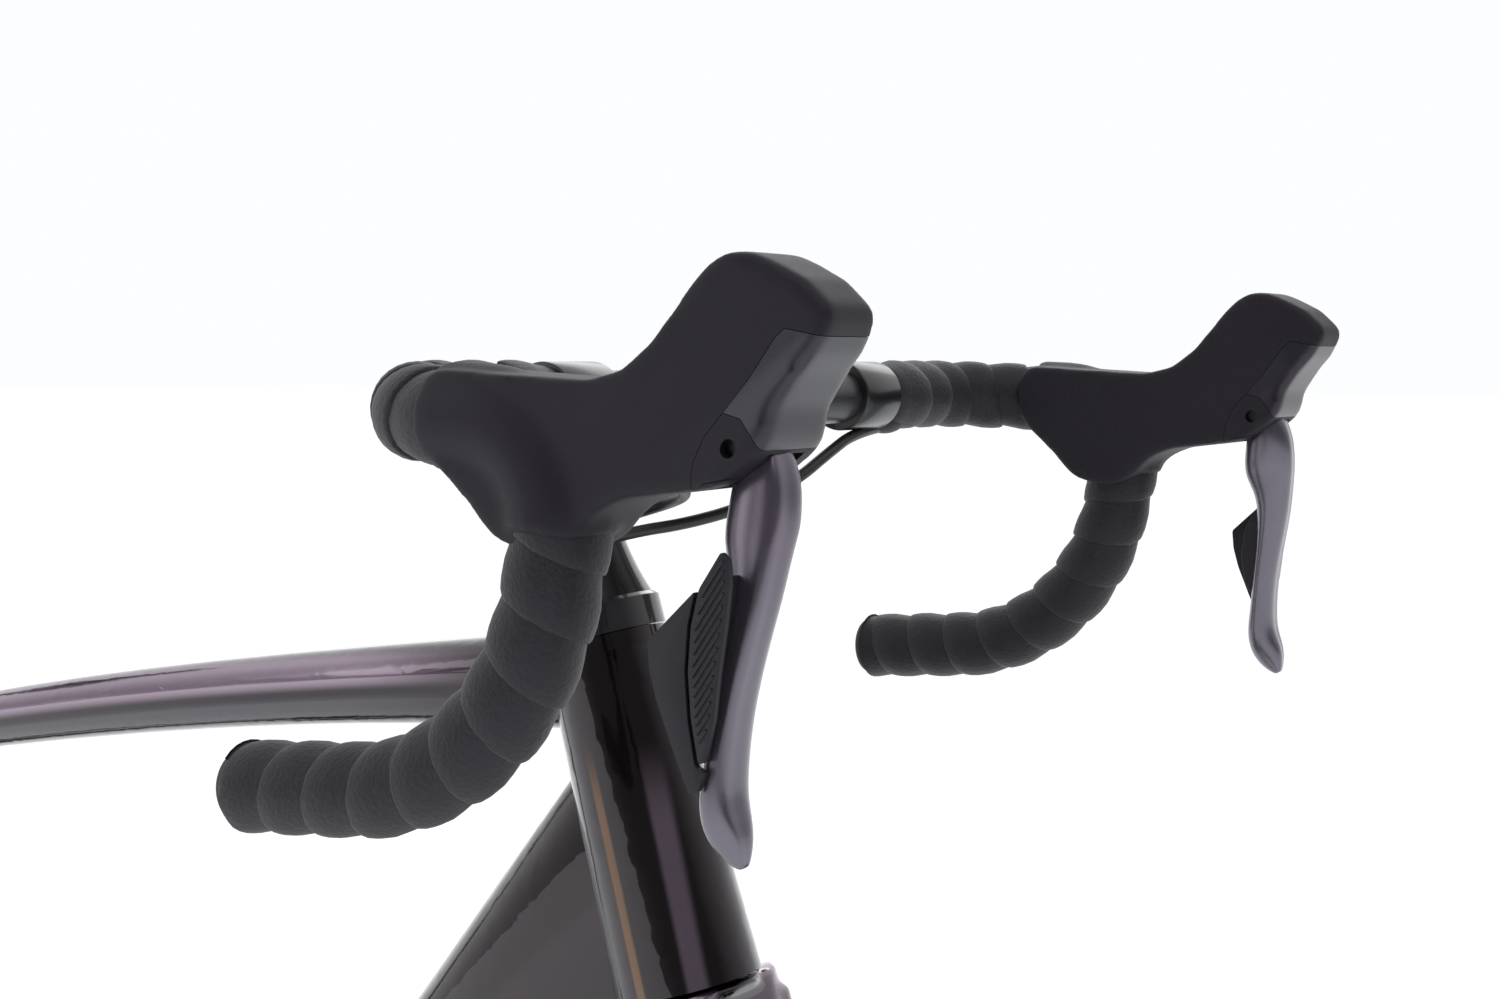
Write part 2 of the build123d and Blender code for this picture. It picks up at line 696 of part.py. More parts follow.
bar_solid = along_bar(bar_tube_radius, 0, 0)
taper_points = [
    (0, 0), (0, bar_clamp_radius), (bar_clamp_half, bar_clamp_radius), (bar_taper_end, bar_tube_radius),
    (bar_taper_end, 0),
]
with BuildPart() as handlebar:
    add(bar_solid)
    add(turned(bar_centre, taper_points))
    add(along_bar(bar_tube_radius - bar_wall, 0, 0), mode=Mode.SUBTRACT)
    mirror(about=Plane.XZ)
save(handlebar.part, "handlebar")

# ---- Brackets, hoods and covers of the levers -------------------------------------------------------------
# Outlines are (forward, up) from the bar's centre; widths are across the bicycle.
hood_width = 36.0
hood_rubber = 2.4
hood_middle = bar_half - 4.0
hood_outline = [
    (40, -12), (36, 2), (42, 12.4), (72, 10.5), (100, 9.0), (113, 12.0), (124, 20), (138, 37), (145, 43.5),
    (153, 45.5), (162, 43), (173, 38), (184, 27), (176, 18), (171, 12), (168, 2), (166, -8), (154, -14),
    (147, -19), (112, -23.5), (101, -28), (94, -36), (84, -42), (66, -38), (56, -27),
]
cover_seam = [(190, 24), (172, 22.5), (156, 22), (151, 14), (145, 8), (139, -1), (146, -10), (154, -16),
              (170, -30), (200, -20)]
pivot = at_bar(150.7, -8.9, hood_middle)
pivot_radius = 2.6
lever_slot_half = 7.0
lever_slot_radius = 15.0


def hood_solid(outline, width):
    """The outline of the hood given a width, rounded as seen from the front and from above."""
    inset = (hood_width - width) / 2
    with BuildPart() as body:
        with BuildSketch(Plane.XZ.offset(-hood_middle - width / 2)):
            with BuildLine():
                Polyline(*[(bar_centre.X + f, bar_centre.Z + u) for f, u in outline], close=True)
            make_face()
            if inset:
                offset(amount=-inset, kind=Kind.INTERSECTION)
        extrude(amount=width)
        with BuildSketch(Plane(at_bar(0, 0, hood_middle), x_dir=(0, 1, 0), z_dir=(1, 0, 0))):
            with Locations((0, 2)):
                RectangleRounded(width, 92 - 2 * inset, 13)
        extrude(amount=220, mode=Mode.INTERSECT)
    return body.part


full_hood = hood_solid(hood_outline, hood_width)
bracket_blank = hood_solid(hood_outline, hood_width - 2 * hood_rubber)
cover_zone = side_plate(
    [(bar_centre.X + f, bar_centre.Z + u) for f, u in cover_seam], hood_middle - 40, hood_middle + 40
)
lever_room = side_disc(pivot, lever_slot_radius, hood_middle - lever_slot_half, hood_middle + lever_slot_half)
lever_sweep = side_plate(
    [
        (pivot.X - 9, pivot.Z), (pivot.X + 24, pivot.Z - 2), (pivot.X + 24, pivot.Z - 60),
        (pivot.X - 40, pivot.Z - 60), (pivot.X - 24, pivot.Z - 14),
    ],
    hood_middle - lever_slot_half, hood_middle + lever_slot_half,
)

with BuildPart() as bracket_left:
    add(bracket_blank)
    add(bar_solid, mode=Mode.SUBTRACT)
    add(lever_room, mode=Mode.SUBTRACT)
    add(lever_sweep, mode=Mode.SUBTRACT)
    add(side_disc(pivot, pivot_radius, hood_middle - 30, hood_middle + 30), mode=Mode.SUBTRACT)
with BuildPart() as hood_shell:
    add(full_hood)
    add(bracket_blank, mode=Mode.SUBTRACT)
    add(bar_solid, mode=Mode.SUBTRACT)
    add(lever_room, mode=Mode.SUBTRACT)
    add(lever_sweep, mode=Mode.SUBTRACT)
    add(side_disc(pivot, 4.0, hood_middle - 30, hood_middle + 30), mode=Mode.SUBTRACT)
with BuildPart() as hood_left:
    add(hood_shell.part)
    add(cover_zone, mode=Mode.SUBTRACT)
with BuildPart() as cover_left:
    add(hood_shell.part)
    add(cover_zone, mode=Mode.INTERSECT)


def both_sides(part):
    """A left piece and its mirror image on the right, in one node."""
    with BuildPart() as pair:
        add(part)
        mirror(about=Plane.XZ)
    return pair.part


def right_of(part):
    """The mirror image of a left piece."""
    with BuildPart() as twin:
        add(mirror(part, about=Plane.XZ, mode=Mode.PRIVATE))
    return twin.part


save(both_sides(bracket_left.part), "lever_brackets")
save(both_sides(hood_left.part), "lever_hoods")
save(both_sides(cover_left.part), "lever_covers")

# ---- Bar tape and end plugs -------------------------------------------------------------------------------
plug_radius = 13.5
plug_length = 4.0
plug_insert = 14.0
end_direction = (bar_corners[4] - bar_corners[3]).normalized()
hood_zone = side_plate(
    [(bar_centre.X + f, bar_centre.Z + u) for f, u in hood_outline], hood_middle - 40, hood_middle + 40
)
with BuildPart() as tape_left:
    add(along_bar(bar_tube_radius + tape_thickness, bar_tube_radius, tape_start))
    add(hood_zone, mode=Mode.SUBTRACT)

with BuildPart() as plug_left:
    add(rod(bar_corners[4] - end_direction * plug_insert, bar_corners[4], bar_tube_radius - bar_wall))
    with BuildSketch(Plane(bar_corners[4], z_dir=end_direction)):
        Circle(plug_radius)
    extrude(amount=plug_length)
    fillet(edges().filter_by(GeomType.CIRCLE).sort_by(Axis.X)[0], 2.5)
save(both_sides(plug_left.part), "bar_end_plugs")

# ---- Brake levers and shift paddles -----------------------------------------------------------------------
# forward, up, out from the bar's end of the clamp, width across, depth fore and aft
blade_run = [
    (153.0, -10.0, -4.0, 11.0, 15.0),
    (156.0, -27.0, -2.5, 13.0, 18.0),
    (154.0, -46.0, 2.0, 15.0, 16.0),
    (150.5, -70.0, 5.5, 16.0, 11.5),
    (146.5, -95.0, 8.0, 17.0, 10.5),
    (146.5, -113.0, 9.5, 15.0, 10.0),
    (152.0, -123.5, 10.0, 9.0, 6.0),
]


def blade_solid():
    """The left lever's blade, lofted from its pivot to its tip."""
    centres = [at_bar(f, u, bar_half + out) for f, u, out, _, _ in blade_run]
    stations = []
    for i, (_, _, _, width, depth) in enumerate(blade_run):
        before = centres[max(i - 1, 0)]
        after = centres[min(i + 1, len(blade_run) - 1)]
        heading = after - before
        stations.append((centres[i], Vector(heading.X, 0, heading.Z), width, depth))
    return oval_tube(stations)


paddle_inner = bar_half + 18.0
paddle_thickness = 2.4
up_paddle_outline = [
    (152, -36), (145, -49), (141, -67), (140, -80), (146, -97.5), (148, -96), (149.5, -82), (151.5, -62),
    (153.5, -43),
]
down_paddle_outline = [
    (143.8, -50), (126.5, -62.5), (127.5, -82), (134, -93.5), (142, -107), (144.6, -99), (138.8, -80),
    (139.8, -67),
]
paddle_pin_radius = 1.2
paddle_pin_y = paddle_inner + paddle_thickness / 2
up_pin_forward = 150.0
up_pin_foot = -44.0
down_pin_forward = 139.5
down_pin_foot = -58.0
pin_top = -29.5
lug = (136.0, 154.0, -35.0, -29.0)      # rear, front, bottom and top of the lug that holds the paddles' pins


def paddle(outline, pin_forward, pin_foot):
    """A left shift paddle: its plate and the pin that it turns on."""
    points = [(bar_centre.X + f, bar_centre.Z + u) for f, u in outline]
    with BuildPart() as piece:
        add(side_plate(points, paddle_inner, paddle_inner + paddle_thickness))
        fillet(edges().filter_by(Axis.Y), 0.8)
        foot = at_bar(pin_forward, pin_foot, paddle_pin_y)
        add(rod(foot, at_bar(pin_forward, pin_top, paddle_pin_y), paddle_pin_radius - running))
    return piece.part


with BuildPart() as lever_left:
    add(blade_solid())
    with Locations(at_bar((lug[0] + lug[1]) / 2, (lug[2] + lug[3]) / 2, bar_half + 14)):
        Box(lug[1] - lug[0], 16, lug[3] - lug[2])
    pin_half = hood_width / 2 - hood_rubber
    add(side_disc(pivot, pivot_radius - running, hood_middle - pin_half, hood_middle + pin_half))
    for forward in (up_pin_forward, down_pin_forward):
        low = at_bar(forward, lug[2] - 1, paddle_pin_y)
        add(rod(low, low + Vector(0, 0, 12), paddle_pin_radius), mode=Mode.SUBTRACT)
save(lever_left.part, "brake_lever_left")
save(right_of(lever_left.part), "brake_lever_right")

up_paddle = paddle(up_paddle_outline, up_pin_forward, up_pin_foot)
down_paddle = paddle(down_paddle_outline, down_pin_forward, down_pin_foot)
save(up_paddle, "front_paddle_left")
save(right_of(up_paddle), "front_paddle_right")
save(down_paddle, "rear_paddle_left")
save(right_of(down_paddle), "rear_paddle_right")

# ---- Brake hoses ------------------------------------------------------------------------------------------
# forward, distance from the mid-plane, up: from under the tape to the cone spacer
left_hose_route = [
    (0.0, 124.0, -14.6), (2.0, 98.0, -16.5), (5.0, 72.0, -24.0), (3.0, 46.0, -36.0), (-8.0, 22.0, -46.0),
    (-24.0, 3.0, -52.0), (-41.0, -8.0, -55.0), (-58.0, -9.0, -59.7),
]
right_hose_route = [
    (0.0, -124.0, -14.6), (2.0, -98.0, -16.5), (6.0, -72.0, -22.0), (6.0, -46.0, -30.0), (-4.0, -22.0, -36.5),
    (-21.0, -3.0, -41.0), (-40.0, 8.0, -45.5), (-60.0, 9.0, -51.0),
]


def cord_tube(points, radius):
    """A tube along straight runs that are joined by the largest tangent arcs that fit them."""
    corners = []
    for before, here, after in zip(points, points[1:], points[2:]):
        turn = radians((here - before).get_angle(after - here))
        shorter = min((here - before).length, (after - here).length)
        corners.append(0.45 * shorter / sin(turn / 2) * cos(turn / 2))
    print("cord radii", [round(c) for c in corners])
    with BuildPart() as tube:
        with BuildLine() as route:
            FilletPolyline(*points, radius=corners)
            run_length = sum(edge.length for edge in route.edges())
        with BuildSketch(Plane(points[0], z_dir=points[1] - points[0])):
            Circle(radius)
        sweep()
    print("cord length", round(run_length, 1))
    return tube.part


hoses = [cord_tube([at_bar(f, u, y) for f, y, u in line], hose_radius) for line in (left_hose_route,
                                                                                    right_hose_route)]
with BuildPart() as brake_hoses:
    for hose in hoses:
        add(hose)
save(brake_hoses.part, "brake_hoses")

with BuildPart() as headset_cone:
    add(cone_spacer.part)
    add(brake_hoses.part, mode=Mode.SUBTRACT)
save(several(headset_cover.part, headset_cone.part, top_spacer.part), "headset_spacers")

with BuildPart() as tape_left_cut:
    add(tape_left.part)
    add(hoses[0], mode=Mode.SUBTRACT)
save(tape_left_cut.part, "bar_tape_left")
with BuildPart() as tape_right_cut:
    add(right_of(tape_left.part))
    add(hoses[1], mode=Mode.SUBTRACT)
save(tape_right_cut.part, "bar_tape_right")

# ---- Front brake caliper and axle -------------------------------------------------------------------------
rotor_radius = rotor_diameter / 2
front_rotor_y = front_half - rotor_inset
rear_rotor_y = dropout_inner - rotor_inset
pad_thickness = 3.0
pad_gap = 0.4
pad_width = 24.0
pad_height = 17.0
caliper_half = 11.5


def caliper(axle, centre, lean, rotor_y, length, depth):
    """A brake caliper's body over the rotor with its two pads, leaning by an angle in the side view."""
    slot_half = rotor_thickness / 2 + pad_gap + pad_thickness
    frame_at = Plane(centre + side_axis * rotor_y, x_dir=(cos(lean), 0, sin(lean)), z_dir=(0, -1, 0))
    with BuildPart() as body:
        with BuildSketch(frame_at.offset(-caliper_half)):
            RectangleRounded(length, depth, 6)
        extrude(amount=2 * caliper_half)
        with BuildSketch(frame_at.offset(-slot_half)):
            with Locations((0, -4)):
                Rectangle(pad_width, depth + 8)
        extrude(amount=2 * slot_half, mode=Mode.SUBTRACT)
        add(side_disc(axle, rotor_radius + 2, rotor_y - 1.8, rotor_y + 1.8), mode=Mode.SUBTRACT)
    with BuildPart() as pads:
        for side in (-1, 1):
            face = rotor_thickness / 2 + pad_gap
            start = frame_at.offset(face if side > 0 else -face - pad_thickness)
            with BuildSketch(start):
                with Locations((0, -depth / 2 + pad_height / 2)):
                    RectangleRounded(pad_width, pad_height, 2)
            extrude(amount=pad_thickness)
    return body.part, pads.part


pad_middle = rotor_radius - 8.5
front_lean = radians(143.0)
front_spot = front_axle + Vector(cos(front_lean), 0, sin(front_lean)) * (pad_middle + 4)
front_body, front_pads = caliper(front_axle, front_spot, front_lean - pi / 2, front_rotor_y, 42.0, 27.0)
with BuildPart() as front_caliper:
    add(front_body)
    add(fork.part, mode=Mode.SUBTRACT)
save(several(front_caliper.part, front_pads), "front_caliper")

with BuildPart() as front_thru_axle:
    add(side_disc(front_axle, axle_radius, -front_half - 12, front_half + 12))
    add(side_disc(front_axle, axle_head, front_half + 12, front_half + 15))
    add(side_disc(front_axle, 3.0, front_half + 10, front_half + 16), mode=Mode.SUBTRACT)
save(front_thru_axle.part, "front_thru_axle")

# ============================================================================================================
# Rear brake and axle, wheels
# ============================================================================================================
rear_lean = radians(24.0)
rear_spot = rear_axle + Vector(cos(rear_lean), 0, sin(rear_lean)) * (pad_middle + 4)
rear_body, rear_pads = caliper(rear_axle, rear_spot, rear_lean - pi / 2, rear_rotor_y, 42.0, 27.0)
with BuildPart() as rear_caliper:
    add(rear_body)
    add(chainstays.part, mode=Mode.SUBTRACT)
save(several(rear_caliper.part, rear_pads), "rear_caliper")

with BuildPart() as rear_thru_axle:
    add(side_disc(rear_axle, axle_radius, -dropout_inner - 9, dropout_inner + 9))
    add(side_disc(rear_axle, axle_head, dropout_inner + 9, dropout_inner + 12))
    add(side_disc(rear_axle, 3.0, dropout_inner + 7, dropout_inner + 13), mode=Mode.SUBTRACT)
save(rear_thru_axle.part, "rear_thru_axle")

# ---- Wheels -----------------------------------------------------------------------------------------------
tyre_centre_radius = tyre_radius - tyre_width / 2
tyre_inner_radius = tyre_width / 2 - 1.6
bead_seat = bead_seat_diameter / 2
rim_nose = bead_seat + 5 - rim_depth
spoke_radius = 0.9
flange_radius = 21.0
rotor_core = 17.0


def tyre(centre):
    """A tyre, as a casing with an open inside and two beads that sit in the rim."""
    outer = tyre_width / 2
    with BuildPart() as casing:
        with BuildSketch(Plane(centre, x_dir=(0, 1, 0), z_dir=(1, 0, 0))):
            with Locations((0, tyre_centre_radius)):
                Circle(outer)
            with Locations((0, tyre_centre_radius)):
                Circle(tyre_inner_radius, mode=Mode.SUBTRACT)
            with Locations((0, bead_seat)):
                Rectangle(17.0, 2 * (tyre_centre_radius - bead_seat), mode=Mode.SUBTRACT)
            with Locations((0, bead_seat - 20)):
                Rectangle(60, 50, mode=Mode.SUBTRACT)
            for side in (-1, 1):
                with Locations((side * 9.4, bead_seat + 3.6)):
                    Rectangle(1.9, 6.6)
        revolve(axis=Axis(centre, (0, 1, 0)))
    return casing.part


def rim(centre):
    """A deep rim: two walls that meet in a rounded nose, a tyre bed with hooks and a hollow inside."""
    half = rim_width / 2
    with BuildPart() as hoop:
        with BuildSketch(Plane(centre, x_dir=(0, 1, 0), z_dir=(1, 0, 0))):
            with BuildLine():
                Polyline(
                    (-half + 1, bead_seat + 5), (-half + 0.4, bead_seat - 12), (-half + 3, rim_nose + 12),
                    (-4.0, rim_nose + 1.0), (0, rim_nose), (4.0, rim_nose + 1.0), (half - 3, rim_nose + 12),
                    (half - 0.4, bead_seat - 12), (half - 1, bead_seat + 5), (10.4, bead_seat + 5),
                    (10.4, bead_seat + 0.2), (6.0, bead_seat - 0.4), (4.0, bead_seat - 3.5),
                    (-4.0, bead_seat - 3.5), (-6.0, bead_seat - 0.4), (-10.4, bead_seat + 0.2),
                    (-10.4, bead_seat + 5), close=True,
                )
            make_face()
            with BuildLine():
                Polyline(
                    (-half + 2.4, bead_seat - 5), (-half + 2.2, bead_seat - 12), (-half + 4.8, rim_nose + 12),
                    (-3.0, rim_nose + 3.4), (3.0, rim_nose + 3.4), (half - 4.8, rim_nose + 12),
                    (half - 2.2, bead_seat - 12), (half - 2.4, bead_seat - 5), close=True,
                )
            make_face(mode=Mode.SUBTRACT)
        revolve(axis=Axis(centre, (0, 1, 0)))
    return hoop.part


def spokes(centre, left_flange, right_flange):
    """Crossed spokes from the two flanges to the rim, half of them on each side."""
    with BuildPart() as fan:
        for k in range(spoke_count):
            side = 1 if k % 2 == 0 else -1
            flange_y = left_flange if side > 0 else right_flange
            rim_angle = 2 * pi * k / spoke_count
            lead = radians(62.0) * (1 if (k // 2) % 2 == 0 else -1)
            hub_angle = rim_angle + lead
            y_shift = 1.6 * (1 if (k // 2) % 2 == 0 else -1)
            start = centre + Vector(cos(hub_angle) * (flange_radius - 2.5), flange_y + y_shift,
                                    sin(hub_angle) * (flange_radius - 2.5))
            end = centre + Vector(cos(rim_angle) * (rim_nose + 2.5), side * 0.8,
                                  sin(rim_angle) * (rim_nose + 2.5))
            add(rod(start, end, spoke_radius))
    return fan.part


def rotor(centre, rotor_y):
    """A brake rotor: a slotted braking ring on curved arms and a splined core."""
    with BuildPart() as disc:
        with BuildSketch(Plane.XZ.offset(-rotor_y - rotor_thickness / 2)):
            with Locations((centre.X, centre.Z)):
                Circle(rotor_radius)
                Circle(rotor_radius - 15.0, mode=Mode.SUBTRACT)
                Circle(26.0)
                with PolarLocations(46.0, 8):
                    Rectangle(50.0, 6.0, rotation=28)
                Circle(rotor_core, mode=Mode.SUBTRACT)
                with PolarLocations(rotor_radius - 5.0, 36):
                    Circle(1.8, mode=Mode.SUBTRACT)
                with PolarLocations(rotor_radius - 10.0, 36, start_angle=5):
                    Circle(1.6, mode=Mode.SUBTRACT)
        extrude(amount=rotor_thickness)
    return disc.part


def hub(centre, half, left_flange, right_flange, rotor_y, freehub):
    """A hub shell turned in one piece and its two bearings, which run on the axle."""
    bore = axle_radius + running
    y = [(-half + gap, bore + 2), (-half + gap, 9.5)]
    if freehub:
        y += [(freehub, 9.5), (freehub, 14.0), (right_flange - 3, 14.0)]
    else:
        y += [(right_flange - 7, 11.5), (right_flange - 3, 12.0)]
    y += [
        (right_flange - 2, flange_radius), (right_flange + 2, flange_radius), (right_flange + 5, 12.0),
        (left_flange - 5, 12.0), (left_flange - 2, flange_radius), (left_flange + 2, flange_radius),
        (left_flange + 3, rotor_core + 3), (rotor_y - rotor_thickness / 2, rotor_core + 3),
        (rotor_y - rotor_thickness / 2, rotor_core), (rotor_y + rotor_thickness / 2, rotor_core),
        (rotor_y + rotor_thickness / 2, rotor_core + 2), (rotor_y + 4, rotor_core + 2), (rotor_y + 4, 9.5),
        (half - gap, 9.5), (half - gap, bore + 2),
    ]
    bearing_at = half - 8
    left_bearing = side_ring(centre, bore + 2.0, bore, bearing_at - 5, bearing_at)
    right_bearing = side_ring(centre, bore + 2.0, bore, -bearing_at, -bearing_at + 5)
    return several(turned(centre, y), left_bearing, right_bearing)


front_flanges = (front_rotor_y - 12.0, -33.0)
rear_flanges = (rear_rotor_y - 14.0, -18.0)
freehub_end = -dropout_inner + 3.0
wheel_sets = [
    ("front", front_axle, front_half, front_flanges, front_rotor_y, 0),
    ("rear", rear_axle, dropout_inner, rear_flanges, rear_rotor_y, freehub_end),
]
for name, centre, half, flanges, rotor_y, freehub in wheel_sets:
    save(tyre(centre), f"{name}_tyre")
    save(rim(centre), f"{name}_rim")
    save(spokes(centre, *flanges), f"{name}_spokes")
    save(hub(centre, half, *flanges, rotor_y, freehub), f"{name}_hub")
    save(rotor(centre, rotor_y), f"{name}_rotor")

# ============================================================================================================
# Drivetrain
# ============================================================================================================
chain_line = -48.5           # Y of the chain on the large ring and on the sprocket in use
small_ring_y = chain_line + 7.5
sprocket_thickness = 1.6
tooth_root = 4.0             # below the pitch circle
tooth_tip = 3.0              # above the pitch circle


def pitch_radius(teeth):
    """The radius of the circle that the chain's rollers sit on."""
    return chain_pitch / (2 * sin(pi / teeth))


def toothed_outline(teeth, first_tooth):
    """The (X, Z) outline of a sprocket about its own centre, with a tooth at a given angle."""
    radius = pitch_radius(teeth)
    outline = []
    for k in range(teeth):
        middle = first_tooth + 2 * pi * k / teeth
        for r, t in (
            (radius - tooth_root, -3.2), (radius, -1.9), (radius + tooth_tip, -0.8),
            (radius + tooth_tip, 0.8), (radius, 1.9), (radius - tooth_root, 3.2),
        ):
            outline.append((r * cos(middle + t / r), r * sin(middle + t / r)))
    return outline


def sprocket(centre, teeth, first_tooth, y, bore, thickness=sprocket_thickness):
    """A flat toothed wheel with a round bore."""
    outline = [(centre.X + x, centre.Z + z) for x, z in toothed_outline(teeth, first_tooth)]
    with BuildPart() as wheel:
        add(side_plate(outline, y - thickness / 2, y + thickness / 2))
        add(side_disc(centre, bore, y - thickness, y + thickness), mode=Mode.SUBTRACT)
    return wheel.part


# ---- The chain's route: round the large ring, the two pulleys and the sprocket in use ---------------------
guide_offset = Vector(8.0, 0, -78.0)
cage_length = 58.0
guide_centre = rear_axle + guide_offset
engaged_teeth = sprocket_teeth[sprocket_in_use]


def wheels_on_route(cage_angle):
    """Centre, teeth and sense of each wheel in the order that the chain meets them; +1 is clockwise."""
    tension = guide_centre + Vector(cos(cage_angle), 0, sin(cage_angle)) * cage_length
    return [
        (bottom_bracket, big_ring_teeth, 1), (tension, pulley_teeth, 1), (guide_centre, pulley_teeth, -1),
        (rear_axle, engaged_teeth, 1),
    ]


def chain_route(cage_angle):
    """The closed route as arcs and straight runs: (length, a function from distance to (X, Z))."""
    wheels = wheels_on_route(cage_angle)
    headings = []
    for (c1, t1, s1), (c2, t2, s2) in zip(wheels, wheels[1:] + wheels[:1]):
        across_x, across_z = c2.X - c1.X, c2.Z - c1.Z
        reach = hypot(across_x, across_z)
        offset_sum = s1 * pitch_radius(t1) - s2 * pitch_radius(t2)
        headings.append(atan2(across_z, across_x) - asin(offset_sum / reach))
    pieces = []
    for i, (centre, teeth, sense) in enumerate(wheels):
        radius = pitch_radius(teeth)
        arrive, leave = headings[i - 1], headings[i]
        turn = ((arrive - leave) * sense) % (2 * pi)
        start = arrive + sense * pi / 2
        pieces.append((radius * turn, "arc", (centre.X, centre.Z, radius, start, sense)))
        next_centre, next_teeth, next_sense = wheels[(i + 1) % len(wheels)]
        normal = leave + pi / 2
        x1 = centre.X + sense * radius * cos(normal)
        z1 = centre.Z + sense * radius * sin(normal)
        x2 = next_centre.X + next_sense * pitch_radius(next_teeth) * cos(normal)
        z2 = next_centre.Z + next_sense * pitch_radius(next_teeth) * sin(normal)
        pieces.append((hypot(x2 - x1, z2 - z1), "run", (x1, z1, leave)))
    return pieces


def on_route(pieces, distance):
    """The (X, Z) point at a distance along the closed route."""
    distance %= sum(length for length, _, _ in pieces)
    for length, kind, data in pieces:
        if distance <= length:
            break
        distance -= length
    if kind == "run":
        x, z, heading = data
        return x + distance * cos(heading), z + distance * sin(heading)
    x, z, radius, start, sense = data
    angle = start - sense * distance / radius
    return x + radius * cos(angle), z + radius * sin(angle)


def rollers(cage_angle, count):
    """The places of the rollers, one pitch apart in a straight line, and what is left over at the end."""
    pieces = chain_route(cage_angle)
    total = sum(length for length, _, _ in pieces)
    distance = 0.0
    places = [on_route(pieces, 0.0)]
    for _ in range(count):
        x, z = places[-1]
        step = chain_pitch
        for _ in range(6):
            px, pz = on_route(pieces, distance + step)
            step *= chain_pitch / hypot(px - x, pz - z)
        distance += step
        places.append(on_route(pieces, distance))
    return places[:-1], total - distance


cage_low, cage_high = radians(-88.0), radians(-20.0)
first_total = sum(length for length, _, _ in chain_route(radians(-55.0)))
link_count = 2 * round(first_total / chain_pitch / 2)
for _ in range(50):
    cage_angle = (cage_low + cage_high) / 2
    if (rollers(cage_angle, link_count)[1] > 0) == (rollers(cage_low, link_count)[1] > 0):
        cage_low = cage_angle
    else:
        cage_high = cage_angle
roller_places, left_over = rollers(cage_angle, link_count)
tension_centre = guide_centre + Vector(cos(cage_angle), 0, sin(cage_angle)) * cage_length
print("chain links", link_count, "cage angle", round(degrees(cage_angle), 2), "left over",
      round(left_over, 5))


def tooth_beside_roller(centre, teeth):
    """The angle of a tooth of a wheel that the chain runs on, half a tooth on from a roller that it holds."""
    radius = pitch_radius(teeth)
    nearest = min(roller_places, key=lambda p: abs(hypot(p[0] - centre.X, p[1] - centre.Z) - radius))
    return atan2(nearest[1] - centre.Z, nearest[0] - centre.X) + pi / teeth


# ---- Chain ------------------------------------------------------------------------------------------------
plate_radius = 4.2
inner_gap_half = 1.15
plate_thickness = 0.7
plate_play = 0.05
pin_radius = 1.8


def link_plate(low, high, hole):
    """One link plate between two heights off the chain's middle plane."""
    with BuildPart() as plate:
        with BuildSketch(Plane.XY.offset(low)):
            with Locations((chain_pitch / 2, 0)):
                SlotCenterToCenter(chain_pitch, 2 * plate_radius)
            with Locations((0, 0), (chain_pitch, 0)):
                Circle(hole, mode=Mode.SUBTRACT)
        extrude(amount=high - low)
    return plate.part


inner_outer_face = inner_gap_half + plate_thickness
outer_start = inner_outer_face + plate_play
outer_end = outer_start + plate_thickness
with BuildPart() as inner_link:
    add(link_plate(inner_gap_half, inner_outer_face, pin_radius + running))
    mirror(about=Plane.XY)
    with BuildSketch(Plane.XY.offset(-inner_gap_half)):
        with Locations((0, 0), (chain_pitch, 0)):
            Circle(chain_roller_radius)
            Circle(pin_radius + running, mode=Mode.SUBTRACT)
    extrude(amount=2 * inner_gap_half)
with BuildPart() as outer_link:
    add(link_plate(outer_start, outer_end, pin_radius))
    mirror(about=Plane.XY)
    with BuildSketch(Plane.XY.offset(-outer_end)):
        with Locations((0, 0), (chain_pitch, 0)):
            Circle(pin_radius)
    extrude(amount=2 * outer_end)

links = []
for k in range(link_count):
    x, z = roller_places[k]
    next_x, next_z = roller_places[(k + 1) % link_count]
    seat = Plane(Vector(x, chain_line, z), x_dir=Vector(next_x - x, 0, next_z - z), z_dir=(0, -1, 0))
    pattern = inner_link.part if k % 2 == 0 else outer_link.part
    links += [solid.moved(seat.location) for solid in pattern.solids()]
chain = Compound(children=links)
save(chain, "chain")

# ---- Cassette ---------------------------------------------------------------------------------------------
freehub_radius = 14.0
core_radius = 16.0
smallest_y = chain_line - sprocket_in_use * sprocket_pitch
largest_y = smallest_y + (len(sprocket_teeth) - 1) * sprocket_pitch
with BuildPart() as cassette:
    for k, teeth in enumerate(sprocket_teeth):
        first = tooth_beside_roller(rear_axle, teeth) if k == sprocket_in_use else 0.0
        add(sprocket(rear_axle, teeth, first, smallest_y + k * sprocket_pitch, core_radius - 1))
    add(side_ring(rear_axle, core_radius, freehub_radius + running, smallest_y - 0.8, largest_y + 0.8))
save(cassette.part, "cassette")

# ---- Chainrings and cranks --------------------------------------------------------------------------------
ring_bore = 50.0
ring_body = 3.0
bolt_circle = 55.0
ring_bolt_radius = 4.0
spider_arms = 4
big_ring_inner_face = chain_line + ring_body / 2
small_ring_outer_face = small_ring_y - 1.2
crank_boss_radius = 19.0
crank_end_radius = 13.0
crank_width = 14.0
crank_root_y = 60.0
crank_tip_y = pedal_tread / 2 - crank_width / 2
pedal_axle_radius = 5.0
pedal_inner = pedal_tread / 2 + 3.0
pedal_width = 62.0


def spider_spots():
    """The centres of the chainring bolts."""
    angles = [pi / 4 + k * 2 * pi / spider_arms for k in range(spider_arms)]
    return [bottom_bracket + Vector(cos(a), 0, sin(a)) * bolt_circle for a in angles]


